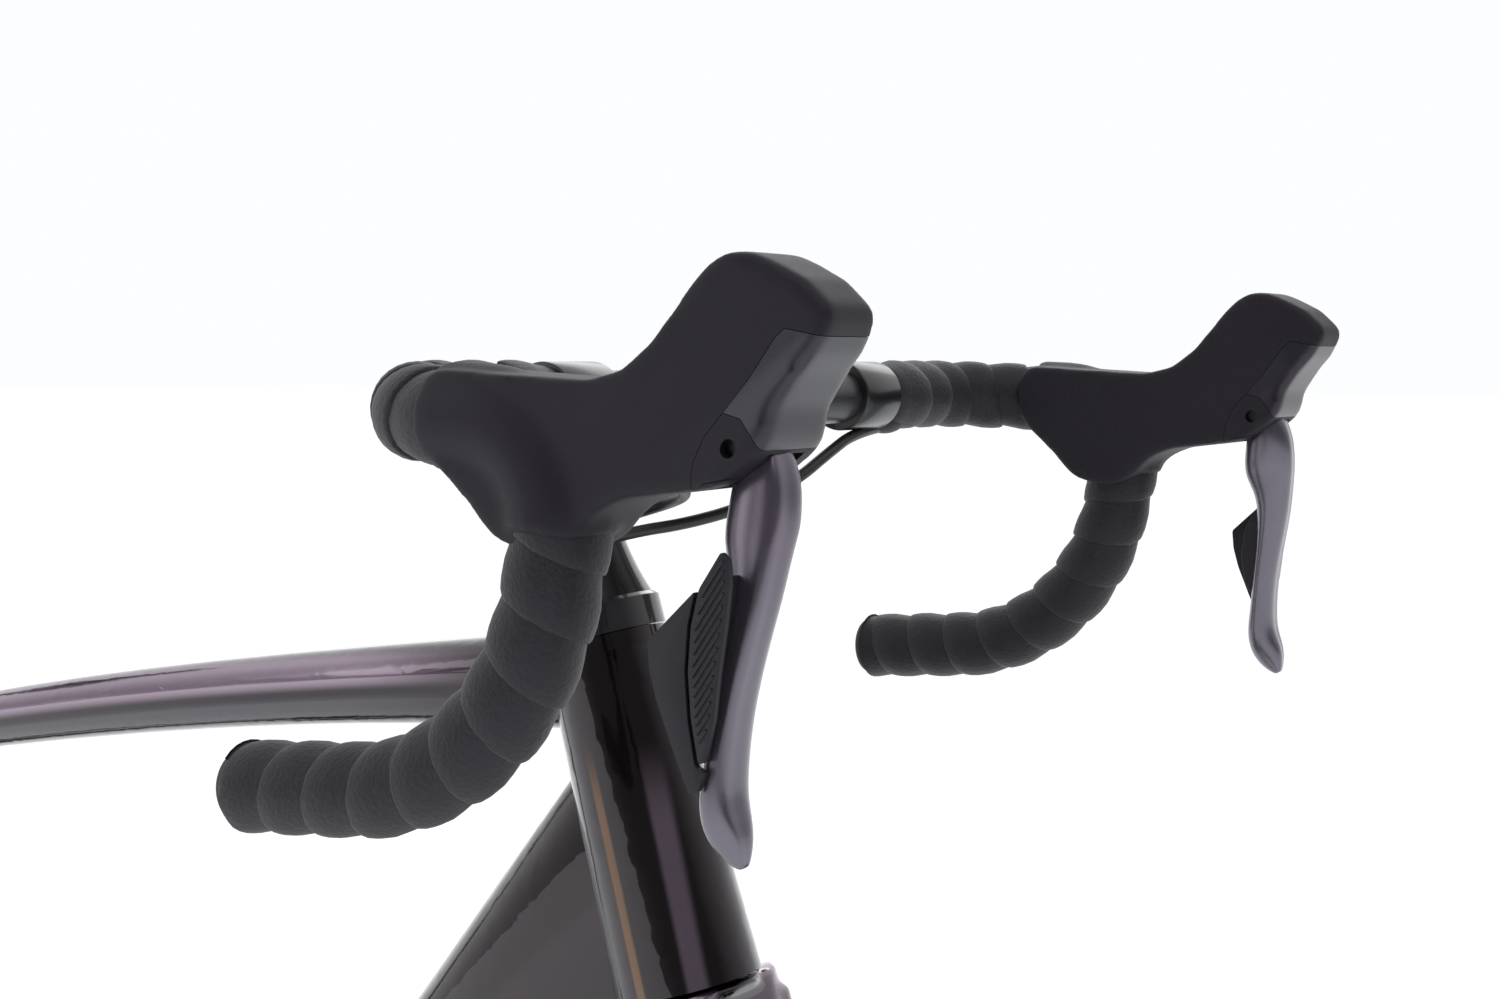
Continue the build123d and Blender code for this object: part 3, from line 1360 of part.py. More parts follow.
def spoke_plate(centre, spot, start, end, width, low, high):
    """A flat bar that points from a centre towards a spot, between two distances from the centre."""
    heading = (spot - centre).normalized()
    side = Vector(-heading.Z, 0, heading.X) * (width / 2)
    corners = [centre + heading * start - side, centre + heading * end - side,
               centre + heading * end + side, centre + heading * start + side]
    return side_plate([(c.X, c.Z) for c in corners], low, high)


def chainring(teeth, first_tooth, y, body_low, body_high):
    """A chainring: the toothed rim, the thicker body inside it and lobes for the bolts."""
    root = pitch_radius(teeth) - tooth_root - 2.0
    bore = max(ring_bore, root - 18.0)
    with BuildPart() as blank:
        add(sprocket(bottom_bracket, teeth, first_tooth, y, bore))
        add(side_ring(bottom_bracket, root, bore, body_low, body_high))
        for spot in spider_spots():
            add(side_disc(spot, 8.0, body_low, body_high))
            add(spoke_plate(bottom_bracket, spot, bolt_circle, bore + 4, 16.0, body_low, body_high))
            add(side_disc(spot, ring_bolt_radius, body_low - 1, body_high + 1), mode=Mode.SUBTRACT)
    return blank.part


big_ring = chainring(
    big_ring_teeth, tooth_beside_roller(bottom_bracket, big_ring_teeth), chain_line,
    chain_line - ring_body / 2, big_ring_inner_face,
)
small_ring = chainring(small_ring_teeth, 0.0, small_ring_y, small_ring_outer_face, small_ring_y + 1.2)
ring_bolts = []
for spot in spider_spots():
    with BuildPart() as ring_bolt:
        add(side_disc(spot, ring_bolt_radius, chain_line - ring_body / 2 - 1.5, small_ring_y + 1.2))
        add(side_disc(spot, 6.0, chain_line - ring_body / 2 - 1.5, chain_line - ring_body / 2))
    ring_bolts.append(ring_bolt.part)
save(several(big_ring, small_ring, *ring_bolts), "chainrings")

right_pedal_centre = bottom_bracket + Vector(crank_length, 0, 0)
left_pedal_centre = bottom_bracket - Vector(crank_length, 0, 0)
spider_start = 27.5
spider_disc_radius = 31.0
cup_clearance = 0.5
boss_inner = bb_half + cup_lip + cup_clearance


def crank_arm(pedal_centre, side):
    """One crank arm with its boss and its pedal eye; side is -1 on the right and 1 on the left."""
    way = pedal_centre - bottom_bracket
    stations = [
        (bottom_bracket + side_axis * (side * crank_root_y), way, crank_width, 34.0),
        (bottom_bracket + way * 0.5 + side_axis * (side * (crank_root_y + crank_tip_y) / 2), way,
         crank_width, 27.0),
        (pedal_centre + side_axis * (side * crank_tip_y), way, crank_width, 23.0),
    ]
    outer_y = crank_root_y + crank_width / 2
    tip_low, tip_high = sorted((side * (crank_tip_y - crank_width / 2), side * pedal_tread / 2))
    with BuildPart() as arm:
        add(boxy_tube(stations, softness=0.34))
        add(side_disc(bottom_bracket, crank_boss_radius, side * boss_inner, side * outer_y))
        add(side_disc(pedal_centre, crank_end_radius, tip_low, tip_high))
        add(side_disc(pedal_centre, pedal_axle_radius, tip_low - 1, tip_high + 1), mode=Mode.SUBTRACT)
    return arm.part


def pedal_axle(pedal_centre, side):
    """The pedal's axle, which is held by the crank."""
    start = side * (crank_tip_y - crank_width / 2)
    return side_disc(pedal_centre, pedal_axle_radius, start, side * (pedal_inner + pedal_width - 4))


with BuildPart() as right_arm:
    add(crank_arm(right_pedal_centre, -1))
    add(side_disc(bottom_bracket, spider_disc_radius, -crank_root_y + 4, big_ring_inner_face))
    for spot in spider_spots():
        add(spoke_plate(bottom_bracket, spot, spider_start, bolt_circle, 16.0, big_ring_inner_face,
                        small_ring_outer_face))
        add(side_disc(spot, 8.0, big_ring_inner_face, small_ring_outer_face))
        add(side_disc(spot, ring_bolt_radius, -60, -30), mode=Mode.SUBTRACT)
    add(side_disc(bottom_bracket, bb_axle_radius, -crank_root_y, crank_root_y + 5))
save(several(right_arm.part, pedal_axle(right_pedal_centre, -1)), "crank_right")

with BuildPart() as left_arm:
    add(crank_arm(left_pedal_centre, 1))
    add(side_disc(bottom_bracket, bb_axle_radius, 0, crank_root_y + 5), mode=Mode.SUBTRACT)
save(several(left_arm.part, pedal_axle(left_pedal_centre, 1)), "crank_left")

pedal_length = 92.0
pedal_height = 15.0
for name, pedal_centre, side in (("right", right_pedal_centre, -1), ("left", left_pedal_centre, 1)):
    low, high = sorted((side * pedal_inner, side * (pedal_inner + pedal_width)))
    bore_low, bore_high = sorted((side * (pedal_inner - 1), side * (pedal_inner + pedal_width - 3.5)))
    with BuildPart() as pedal:
        with BuildSketch(Plane.XZ.offset(-high)):
            with Locations((pedal_centre.X, pedal_centre.Z)):
                RectangleRounded(pedal_length, pedal_height, 6)
        extrude(amount=pedal_width)
        with BuildSketch(Plane.XY.offset(pedal_centre.Z - pedal_height)):
            with Locations((pedal_centre.X, (low + high) / 2)):
                RectangleRounded(pedal_length, pedal_width, 14)
        extrude(amount=2 * pedal_height, mode=Mode.INTERSECT)
        add(side_disc(pedal_centre, pedal_height / 2 + 1.5, low, high))
        add(side_disc(pedal_centre, pedal_axle_radius + running, bore_low, bore_high), mode=Mode.SUBTRACT)
    save(pedal.part, f"pedal_{name}")

# ---- Front derailleur -------------------------------------------------------------------------------------
cage_clear_of_teeth = 2.3
cage_inner_radius = pitch_radius(big_ring_teeth) + tooth_tip + cage_clear_of_teeth
cage_outer_radius = cage_inner_radius + 15.0
cage_wall = 1.2
cage_side_play = 1.2
cage_start, cage_end = radians(84.0), radians(128.0)
cage_bridge_end = radians(106.0)
fd_axis_z = bottom_bracket.Z + 165.0
fd_axis_y = chain_line + 3.5
fd_axis_radius = 2.0
seat_tube_x = bottom_bracket.X - (fd_axis_z - bottom_bracket.Z) / sin(sa) * cos(sa)
fd_rear, fd_front = seat_tube_x - 8.0, seat_tube_x + 32.0
ear = 4.5
outer_plate_y = chain_line - outer_end - cage_side_play
inner_plate_y = chain_line + outer_end + cage_side_play


def band(inner, outer, start, end, low, high):
    """A flat curved band about the bottom bracket."""
    steps = 10
    angles = [start + (end - start) * k / steps for k in range(steps + 1)]
    points = [(bottom_bracket.X + outer * cos(a), bottom_bracket.Z + outer * sin(a)) for a in angles]
    points += [(bottom_bracket.X + inner * cos(a),
                bottom_bracket.Z + inner * sin(a)) for a in reversed(angles)]
    return side_plate(points, low, high)


with BuildPart() as front_derailleur_cage:
    add(band(cage_inner_radius, cage_outer_radius, cage_start, cage_end, outer_plate_y - cage_wall,
             outer_plate_y))
    add(band(cage_inner_radius, cage_outer_radius, cage_start, cage_end, inner_plate_y,
             inner_plate_y + cage_wall))
    add(band(cage_outer_radius - 2, cage_outer_radius, cage_start, cage_bridge_end, outer_plate_y - cage_wall,
             inner_plate_y + cage_wall))
    with Locations(((fd_rear + fd_front) / 2, fd_axis_y,
                    (fd_axis_z + bottom_bracket.Z + cage_outer_radius) / 2)):
        Box(fd_front - fd_rear - 2 * ear - 2 * gap, 7.0,
            fd_axis_z - bottom_bracket.Z - cage_outer_radius + 12)
    axis_start = Vector(fd_rear - 5, fd_axis_y, fd_axis_z)
    add(rod(axis_start, axis_start + Vector(60, 0, 0), fd_axis_radius + running), mode=Mode.SUBTRACT)
save(front_derailleur_cage.part, "front_derailleur_cage")

fd_body_outer = fd_axis_y + 7.0
with BuildPart() as front_derailleur_body:
    with Locations(((fd_rear + fd_front) / 2, (fd_body_outer - seatpost_radius) / 2, fd_axis_z)):
        Box(fd_front - fd_rear, -fd_body_outer - seatpost_radius, 26)
    for x in (fd_rear + ear / 2, fd_front - ear / 2):
        with Locations((x, (fd_body_outer + fd_axis_y - 4.5) / 2, fd_axis_z)):
            Box(ear, fd_body_outer - fd_axis_y + 4.5, 13)
    add(rod(Vector(fd_rear + 1, fd_axis_y, fd_axis_z), Vector(fd_front - 1, fd_axis_y, fd_axis_z),
            fd_axis_radius))
    add(main_frame.part, mode=Mode.SUBTRACT)
save(front_derailleur_body.part, "front_derailleur_body")

# ---- Rear derailleur --------------------------------------------------------------------------------------
link_length = 36.0
link_tilt = radians(30.0)
link_half_gap = 9.0
link_pin_radius = 2.0
link_width = 8.0
link_height = 14.0
rd_axis = Vector(0, sin(link_tilt), cos(link_tilt))
rd_aside = Vector(0, cos(link_tilt), -sin(link_tilt))
rd_base_point = rear_axle + Vector(30.0, -86.0, -60.0)
rd_knuckle_point = rd_base_point - Vector(link_length, 0, 0)
hanger_point = rear_axle + Vector(9.0, 0, -29.0)
hanger_thickness = 7.0
hanger_corner = rear_axle + Vector(47.5, 0, -36.0)
hanger_low = -dropout_inner - 8.0
cage_plate_gap = 4.2         # from the chain's middle to the inner face of a cage plate
cage_plate_thickness = 2.0
pulley_bolt_radius = 2.5
pivot_boss_radius = 4.0
cage_outer_face = chain_line - cage_plate_gap - cage_plate_thickness
pulley_thickness = 1.8
arm_thickness = 3.4          # of the knuckle's arm, which passes inboard of the inner link
pivot_depth = 4.2


def tilted_block(centre, length, wide, high):
    """A block along the bicycle whose other faces follow the derailleur's tilted hinge pins."""
    with BuildPart() as block:
        with BuildSketch(Plane(centre - Vector(length / 2, 0, 0), x_dir=rd_aside, z_dir=(1, 0, 0))):
            RectangleRounded(wide, high, 2.5)
        extrude(amount=length)
    return block.part


def hinge_pins(point, length, radius):
    """The two parallel hinge pins at one end of the derailleur's links."""
    with BuildPart() as pins:
        for side in (-1, 1):
            middle = point + rd_aside * (side * link_half_gap)
            add(rod(middle - rd_axis * (length / 2), middle + rd_axis * (length / 2), radius))
    return pins.part


cheek_thickness = 4.0
cheek_shift = link_height / 2 + gap + cheek_thickness / 2


def cheeks(point, reach):
    """The two cheeks above and below the links that hold the ends of their pins."""
    with BuildPart() as pair:
        for side in (-1, 1):
            middle = point + rd_axis * (side * cheek_shift)
            with BuildSketch(Plane(middle - rd_axis * (cheek_thickness / 2), x_dir=(1, 0, 0), z_dir=rd_axis)):
                with Locations((reach / 2, 0)):
                    RectangleRounded(abs(reach) + link_width, 2 * link_half_gap + link_width, 3.5)
            extrude(amount=cheek_thickness)
    return pair.part


for name, side in (("outer", -1), ("inner", 1)):
    with BuildPart() as link:
        start = rd_base_point + rd_aside * (side * link_half_gap)
        with BuildSketch(Plane(start - rd_axis * (link_height / 2), x_dir=(-1, 0, 0), z_dir=rd_axis)):
            with Locations((link_length / 2, 0)):
                SlotCenterToCenter(link_length, link_width)
        extrude(amount=link_height)
        add(hinge_pins(rd_base_point, 60, link_pin_radius + running), mode=Mode.SUBTRACT)
        add(hinge_pins(rd_knuckle_point, 60, link_pin_radius + running), mode=Mode.SUBTRACT)
    save(link.part, f"rear_derailleur_{name}_link")

pin_length = 2 * (cheek_shift + cheek_thickness / 2)
bridge_reach = 12.0
with BuildPart() as rear_derailleur_base:
    add(cheeks(rd_base_point, bridge_reach))
    add(tilted_block(rd_base_point + Vector(bridge_reach + 1, 0, 0), 9.0, 2 * link_half_gap + link_width,
                     pin_length))
    add(hinge_pins(rd_base_point, pin_length, link_pin_radius))
    hanger_outer = hanger_low - hanger_thickness
    add(spoke_plate(hanger_point, hanger_point + Vector(1, 0, -0.12), -9.0, 43.0, 16.0, hanger_outer,
                    hanger_low))
    add(spoke_plate(hanger_corner, hanger_corner + Vector(0, 0, -1), -7.0, 20.0, 9.0, hanger_outer,
                    hanger_low))
    add(spoke_plate(rear_axle, hanger_point, 8.0, 38.0, 20.0, -dropout_inner - 7.0, -dropout_inner - 1.0))
    add(side_disc(hanger_point, 7.0, hanger_low - 9, -dropout_inner - 1))
    add(side_disc(rear_axle, axle_radius + 3.2, -dropout_inner - 12, -dropout_inner + 1), mode=Mode.SUBTRACT)
    add(chainstays.part, mode=Mode.SUBTRACT)
    add(seatstays.part, mode=Mode.SUBTRACT)
save(rear_derailleur_base.part, "rear_derailleur_base")

with BuildPart() as rear_derailleur_knuckle:
    add(cheeks(rd_knuckle_point, -bridge_reach))
    add(tilted_block(rd_knuckle_point - Vector(bridge_reach + 1, 0, 0), 9.0,
                     2 * link_half_gap + link_width, pin_length))
    add(hinge_pins(rd_knuckle_point, pin_length, link_pin_radius))
    arm_start = rd_knuckle_point + Vector(-bridge_reach, -rd_knuckle_point.Y, -4)
    add(spoke_plate(guide_centre, arm_start, -8.0, (arm_start - guide_centre).length, 15.0,
                    cage_outer_face - arm_thickness, cage_outer_face - gap))
    add(side_disc(guide_centre, 9.5, cage_outer_face - pivot_depth, cage_outer_face - gap))
    add(side_disc(arm_start, 6.8, rd_knuckle_point.Y, cage_outer_face - gap))
    add(side_disc(guide_centre, pivot_boss_radius + running, cage_outer_face - 12.0, cage_outer_face),
        mode=Mode.SUBTRACT)
save(rear_derailleur_knuckle.part, "rear_derailleur_knuckle")

with BuildPart() as rear_derailleur_cage:
    for low in (chain_line + cage_plate_gap, cage_outer_face):
        for spot in (guide_centre, tension_centre):
            add(side_disc(spot, 11.0, low, low + cage_plate_thickness))
        add(spoke_plate(guide_centre, tension_centre, 0.0, cage_length, 13.0, low,
                        low + cage_plate_thickness))
    for spot in (guide_centre, tension_centre):
        add(side_disc(spot, pulley_bolt_radius, cage_outer_face,
                      chain_line + cage_plate_gap + cage_plate_thickness))
    add(side_disc(guide_centre, pivot_boss_radius, cage_outer_face - pivot_depth, cage_outer_face))
save(rear_derailleur_cage.part, "rear_derailleur_cage")

for name, centre in (("guide", guide_centre), ("tension", tension_centre)):
    with BuildPart() as pulley:
        first = tooth_beside_roller(centre, pulley_teeth)
        add(sprocket(centre, pulley_teeth, first, chain_line, pulley_bolt_radius + running, pulley_thickness))
        add(side_ring(centre, 7.0, pulley_bolt_radius + running, chain_line - 3.6, chain_line + 3.6))
    save(pulley.part, f"{name}_pulley")
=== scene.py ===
import math
import bmesh
import bpy
from mathutils import Matrix, Vector


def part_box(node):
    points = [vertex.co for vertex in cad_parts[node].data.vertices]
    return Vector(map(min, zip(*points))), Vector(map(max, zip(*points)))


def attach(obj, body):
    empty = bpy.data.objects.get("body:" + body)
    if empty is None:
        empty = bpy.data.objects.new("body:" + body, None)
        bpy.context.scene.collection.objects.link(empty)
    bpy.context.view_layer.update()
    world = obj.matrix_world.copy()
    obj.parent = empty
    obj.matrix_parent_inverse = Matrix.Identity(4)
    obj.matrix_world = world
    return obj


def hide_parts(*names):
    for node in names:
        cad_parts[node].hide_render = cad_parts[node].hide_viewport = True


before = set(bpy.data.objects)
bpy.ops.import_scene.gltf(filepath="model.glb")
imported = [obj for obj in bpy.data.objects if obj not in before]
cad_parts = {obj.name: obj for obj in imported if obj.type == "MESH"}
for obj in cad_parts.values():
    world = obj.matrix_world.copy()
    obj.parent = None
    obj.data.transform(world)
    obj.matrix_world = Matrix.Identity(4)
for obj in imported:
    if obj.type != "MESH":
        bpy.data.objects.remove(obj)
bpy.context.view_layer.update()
mm = 0.001
barCentre = Vector((0.364187, 0.0, 0.922518))      # middle of the bar's clamp, as in the part
barHalf = 210.0                                      # mid-plane to the middle of each drop
hoodMiddle = 206.0                                   # mid-plane to the middle of each hood


def at(forward, up, out):
    # a point in millimetres from the bar's centre: forward, up, and out to the left
    return barCentre + Vector((forward, out, up)) * mm


# camera, lights and floor
def makeStage():
    camera = bpy.data.objects.new("camera", bpy.data.cameras.new("camera"))
    camera.location = (0.836, -0.6985, 0.9375)
    camera.rotation_euler = (math.radians(90 - 3.7766), 0, math.radians(33.39))
    camera.data.lens = 50
    camera.data.sensor_width = 36
    camera.data.clip_start = 0.02
    camera.data.clip_end = 200
    bpy.context.scene.collection.objects.link(camera)
    bpy.context.scene.camera = camera
    bpy.context.scene.view_settings.view_transform = "Standard"

    world = bpy.data.worlds.new("studio")
    bpy.context.scene.world = world
    world.use_nodes = True
    # bright behind and above, dim in front, and plain white where the lens looks straight at it
    tree = world.node_tree
    sky = tree.nodes["Background"]
    ray = tree.nodes.new("ShaderNodeTexCoord")
    facing = tree.nodes.new("ShaderNodeVectorMath")
    facing.operation = "DOT_PRODUCT"
    facing.inputs[1].default_value = (-0.42, 0.62, 0.66)
    nodeLink(tree, ray.outputs["Generated"], facing.inputs[0])
    glow = tree.nodes.new("ShaderNodeMapRange")
    glow.inputs["From Min"].default_value = -0.25
    glow.inputs["From Max"].default_value = 0.55
    glow.inputs["To Min"].default_value = 0.13
    glow.inputs["To Max"].default_value = 0.9
    nodeLink(tree, facing.outputs["Value"], glow.inputs[0])
    path = tree.nodes.new("ShaderNodeLightPath")
    seen = tree.nodes.new("ShaderNodeMix")
    nodeLink(tree, path.outputs["Is Camera Ray"], seen.inputs["Factor"])
    nodeLink(tree, glow.outputs[0], seen.inputs["A"])
    seen.inputs["B"].default_value = 1.0
    sky.inputs[0].default_value = (0.975, 0.985, 1.0, 1)
    nodeLink(tree, seen.outputs[0], sky.inputs[1])

    # place, aim, width, height, watts
    boxes = {
        "keyBox": ((1.6, -1.2, 2.9), (0.3, 0, 0.7), 1.6, 1.2, 12),
        "sideBox": ((-1.4, -2.2, 1.9), (0.1, 0, 0.7), 1.4, 1.8, 10),
        "backBox": ((-0.6, 2.3, 2.2), (0.1, 0, 0.7), 2.0, 1.2, 12),
    }
    for name, (place, aim, width, height, watts) in boxes.items():
        light = bpy.data.lights.new(name, "AREA")
        light.shape = "RECTANGLE"
        light.size = width
        light.size_y = height
        light.energy = watts
        lamp = bpy.data.objects.new(name, light)
        lamp.location = place
        lamp.rotation_euler = (Vector(aim) - Vector(place)).to_track_quat("-Z", "Y").to_euler()
        bpy.context.scene.collection.objects.link(lamp)

    bm = bmesh.new()
    bmesh.ops.create_grid(bm, x_segments=1, y_segments=1, size=60)
    floor = bpy.data.objects.new("floor", bpy.data.meshes.new("floor"))
    bm.to_mesh(floor.data)
    bm.free()
    bpy.context.scene.collection.objects.link(floor)
    paper = finish("floorPaper", (0.9, 0.91, 0.92), rough=0.9, mottle=0.01, mottleScale=2)
    paper.node_tree.nodes["Principled BSDF"].inputs["Emission Color"].default_value = (0.97, 0.985, 1.0, 1)
    paper.node_tree.nodes["Principled BSDF"].inputs["Emission Strength"].default_value = 0.42
    floor.data.materials.append(paper)


# finishes
def nodeLink(tree, source, target):
    tree.links.new(source, target)


def finish(name, colour, rough=0.5, metal=0.0, coat=0.0, coatRough=0.05, sheen=0.0, ior=1.5, tint=(1, 1, 1),
           mottle=0.12,
           mottleScale=25.0, grain=0.0, grainScale=900.0, wear=0.06, second=None, stretch=(1, 1, 1)):
    # one node finish: a mottled colour, a roughness that varies with it, and a fine surface grain
    material = bpy.data.materials.new(name)
    material.use_nodes = True
    tree = material.node_tree
    shader = tree.nodes["Principled BSDF"]
    shader.inputs["Metallic"].default_value = metal
    shader.inputs["Coat Weight"].default_value = coat
    shader.inputs["Coat Roughness"].default_value = coatRough
    shader.inputs["Sheen Weight"].default_value = sheen
    shader.inputs["IOR"].default_value = ior
    shader.inputs["Specular Tint"].default_value = (*tint, 1)
    place = tree.nodes.new("ShaderNodeTexCoord")
    turn = tree.nodes.new("ShaderNodeMapping")
    turn.inputs["Scale"].default_value = stretch
    nodeLink(tree, place.outputs["Object"], turn.inputs["Vector"])
    cloud = tree.nodes.new("ShaderNodeTexNoise")
    cloud.inputs["Scale"].default_value = mottleScale
    cloud.inputs["Detail"].default_value = 5
    nodeLink(tree, turn.outputs[0], cloud.inputs["Vector"])
    ramp = tree.nodes.new("ShaderNodeValToRGB")
    other = second or tuple(c * (1 + mottle) for c in colour)
    ramp.color_ramp.elements[0].position = 0.3
    ramp.color_ramp.elements[1].position = 0.72
    ramp.color_ramp.elements[0].color = (*[c * (1 - mottle) for c in colour], 1)
    ramp.color_ramp.elements[1].color = (*other, 1)
    nodeLink(tree, cloud.outputs["Fac"], ramp.inputs[0])
    nodeLink(tree, ramp.outputs[0], shader.inputs["Base Color"])
    spread = tree.nodes.new("ShaderNodeMapRange")
    spread.inputs["To Min"].default_value = max(rough - wear, 0.02)
    spread.inputs["To Max"].default_value = min(rough + wear, 1.0)
    nodeLink(tree, cloud.outputs["Fac"], spread.inputs[0])
    nodeLink(tree, spread.outputs[0], shader.inputs["Roughness"])
    if grain:
        dust = tree.nodes.new("ShaderNodeTexNoise")
        dust.inputs["Scale"].default_value = grainScale
        dust.inputs["Detail"].default_value = 3
        nodeLink(tree, turn.outputs[0], dust.inputs["Vector"])
        bump = tree.nodes.new("ShaderNodeBump")
        bump.inputs["Strength"].default_value = grain
        bump.inputs["Distance"].default_value = 0.0004
        nodeLink(tree, dust.outputs["Fac"], bump.inputs["Height"])
        nodeLink(tree, bump.outputs[0], shader.inputs["Normal"])
    return material


def addPattern(material, texture, scale, strength, distance, darken=None, useUv=False, turned=(0, 0, 0)):
    # a regular relief over the finish: a weave, ribs or turning marks
    tree = material.node_tree
    shader = tree.nodes["Principled BSDF"]
    place = tree.nodes.new("ShaderNodeTexCoord")
    turn = tree.nodes.new("ShaderNodeMapping")
    turn.inputs["Rotation"].default_value = turned
    turn.inputs["Scale"].default_value = scale
    nodeLink(tree, place.outputs["UV" if useUv else "Object"], turn.inputs["Vector"])
    pattern = tree.nodes.new(texture)
    pattern.inputs["Scale"].default_value = 1.0
    nodeLink(tree, turn.outputs[0], pattern.inputs["Vector"])
    height = pattern.outputs["Distance"] if texture == "ShaderNodeTexVoronoi" else pattern.outputs["Fac"]
    bump = tree.nodes.new("ShaderNodeBump")
    bump.inputs["Strength"].default_value = strength
    bump.inputs["Distance"].default_value = distance
    nodeLink(tree, height, bump.inputs["Height"])
    before = shader.inputs["Normal"].links
    if before:
        nodeLink(tree, before[0].from_socket, bump.inputs["Normal"])
    nodeLink(tree, bump.outputs[0], shader.inputs["Normal"])
    if darken is not None:
        shade = tree.nodes.new("ShaderNodeMix")
        shade.data_type = "RGBA"
        shade.blend_type = "MULTIPLY"
        shade.inputs["Factor"].default_value = darken
        nodeLink(tree, shader.inputs["Base Color"].links[0].from_socket, shade.inputs["A"])
        nodeLink(tree, height, shade.inputs["B"])
        nodeLink(tree, shade.outputs["Result"], shader.inputs["Base Color"])
    return material


def addPaintedReflections(material, streaks, bend=0.0):
    # soft bands of painted reflection in another colour, standing in for the glossy paint's highlights: each is a
    # direction, where its middle lies along it, its half width, a colour and
    #     # the zone it fades out of; bend adds a share of the forward place squared, so that a band follows an arched
    #     tube
    tree = material.node_tree
    shader = tree.nodes["Principled BSDF"]
    place = tree.nodes.new("ShaderNodeTexCoord")
    for direction, middle, half, colour, zone in streaks:
        along = tree.nodes.new("ShaderNodeVectorMath")
        along.operation = "DOT_PRODUCT"
        along.inputs[1].default_value = direction
        nodeLink(tree, place.outputs["Object"], along.inputs[0])
        split = tree.nodes.new("ShaderNodeSeparateXYZ")
        nodeLink(tree, place.outputs["Object"], split.inputs[0])
        square = tree.nodes.new("ShaderNodeMath")
        square.operation = "MULTIPLY"
        nodeLink(tree, split.outputs["X"], square.inputs[0])
        nodeLink(tree, split.outputs["X"], square.inputs[1])
        arched = tree.nodes.new("ShaderNodeMath")
        arched.operation = "MULTIPLY_ADD"
        arched.inputs[1].default_value = bend
        nodeLink(tree, square.outputs[0], arched.inputs[0])
        nodeLink(tree, along.outputs["Value"], arched.inputs[2])
        rise = tree.nodes.new("ShaderNodeMapRange")
        rise.interpolation_type = "SMOOTHSTEP"
        rise.inputs["From Min"].default_value = middle - half
        rise.inputs["From Max"].default_value = middle - half * 0.45
        nodeLink(tree, arched.outputs[0], rise.inputs[0])
        fall = tree.nodes.new("ShaderNodeMapRange")
        fall.interpolation_type = "SMOOTHSTEP"
        fall.inputs["From Min"].default_value = middle + half
        fall.inputs["From Max"].default_value = middle + half * 0.45
        nodeLink(tree, arched.outputs[0], fall.inputs[0])
        both = tree.nodes.new("ShaderNodeMath")
        both.operation = "MULTIPLY"
        nodeLink(tree, rise.outputs[0], both.inputs[0])
        nodeLink(tree, fall.outputs[0], both.inputs[1])
        zoneDirection, zoneStart, zoneEnd = zone
        reach = tree.nodes.new("ShaderNodeVectorMath")
        reach.operation = "DOT_PRODUCT"
        reach.inputs[1].default_value = zoneDirection
        nodeLink(tree, place.outputs["Object"], reach.inputs[0])
        inside = tree.nodes.new("ShaderNodeMapRange")
        inside.interpolation_type = "SMOOTHSTEP"
        inside.inputs["From Min"].default_value = zoneStart
        inside.inputs["From Max"].default_value = zoneEnd
        nodeLink(tree, reach.outputs["Value"], inside.inputs[0])
        share = tree.nodes.new("ShaderNodeMath")
        share.operation = "MULTIPLY"
        nodeLink(tree, both.outputs[0], share.inputs[0])
        nodeLink(tree, inside.outputs[0], share.inputs[1])
        paintedReflection = tree.nodes.new("ShaderNodeMix")
        paintedReflection.data_type = "RGBA"
        nodeLink(tree, share.outputs[0], paintedReflection.inputs["Factor"])
        nodeLink(tree, shader.inputs["Base Color"].links[0].from_socket, paintedReflection.inputs["A"])
        paintedReflection.inputs["B"].default_value = (*colour, 1)
        nodeLink(tree, paintedReflection.outputs["Result"], shader.inputs["Base Color"])


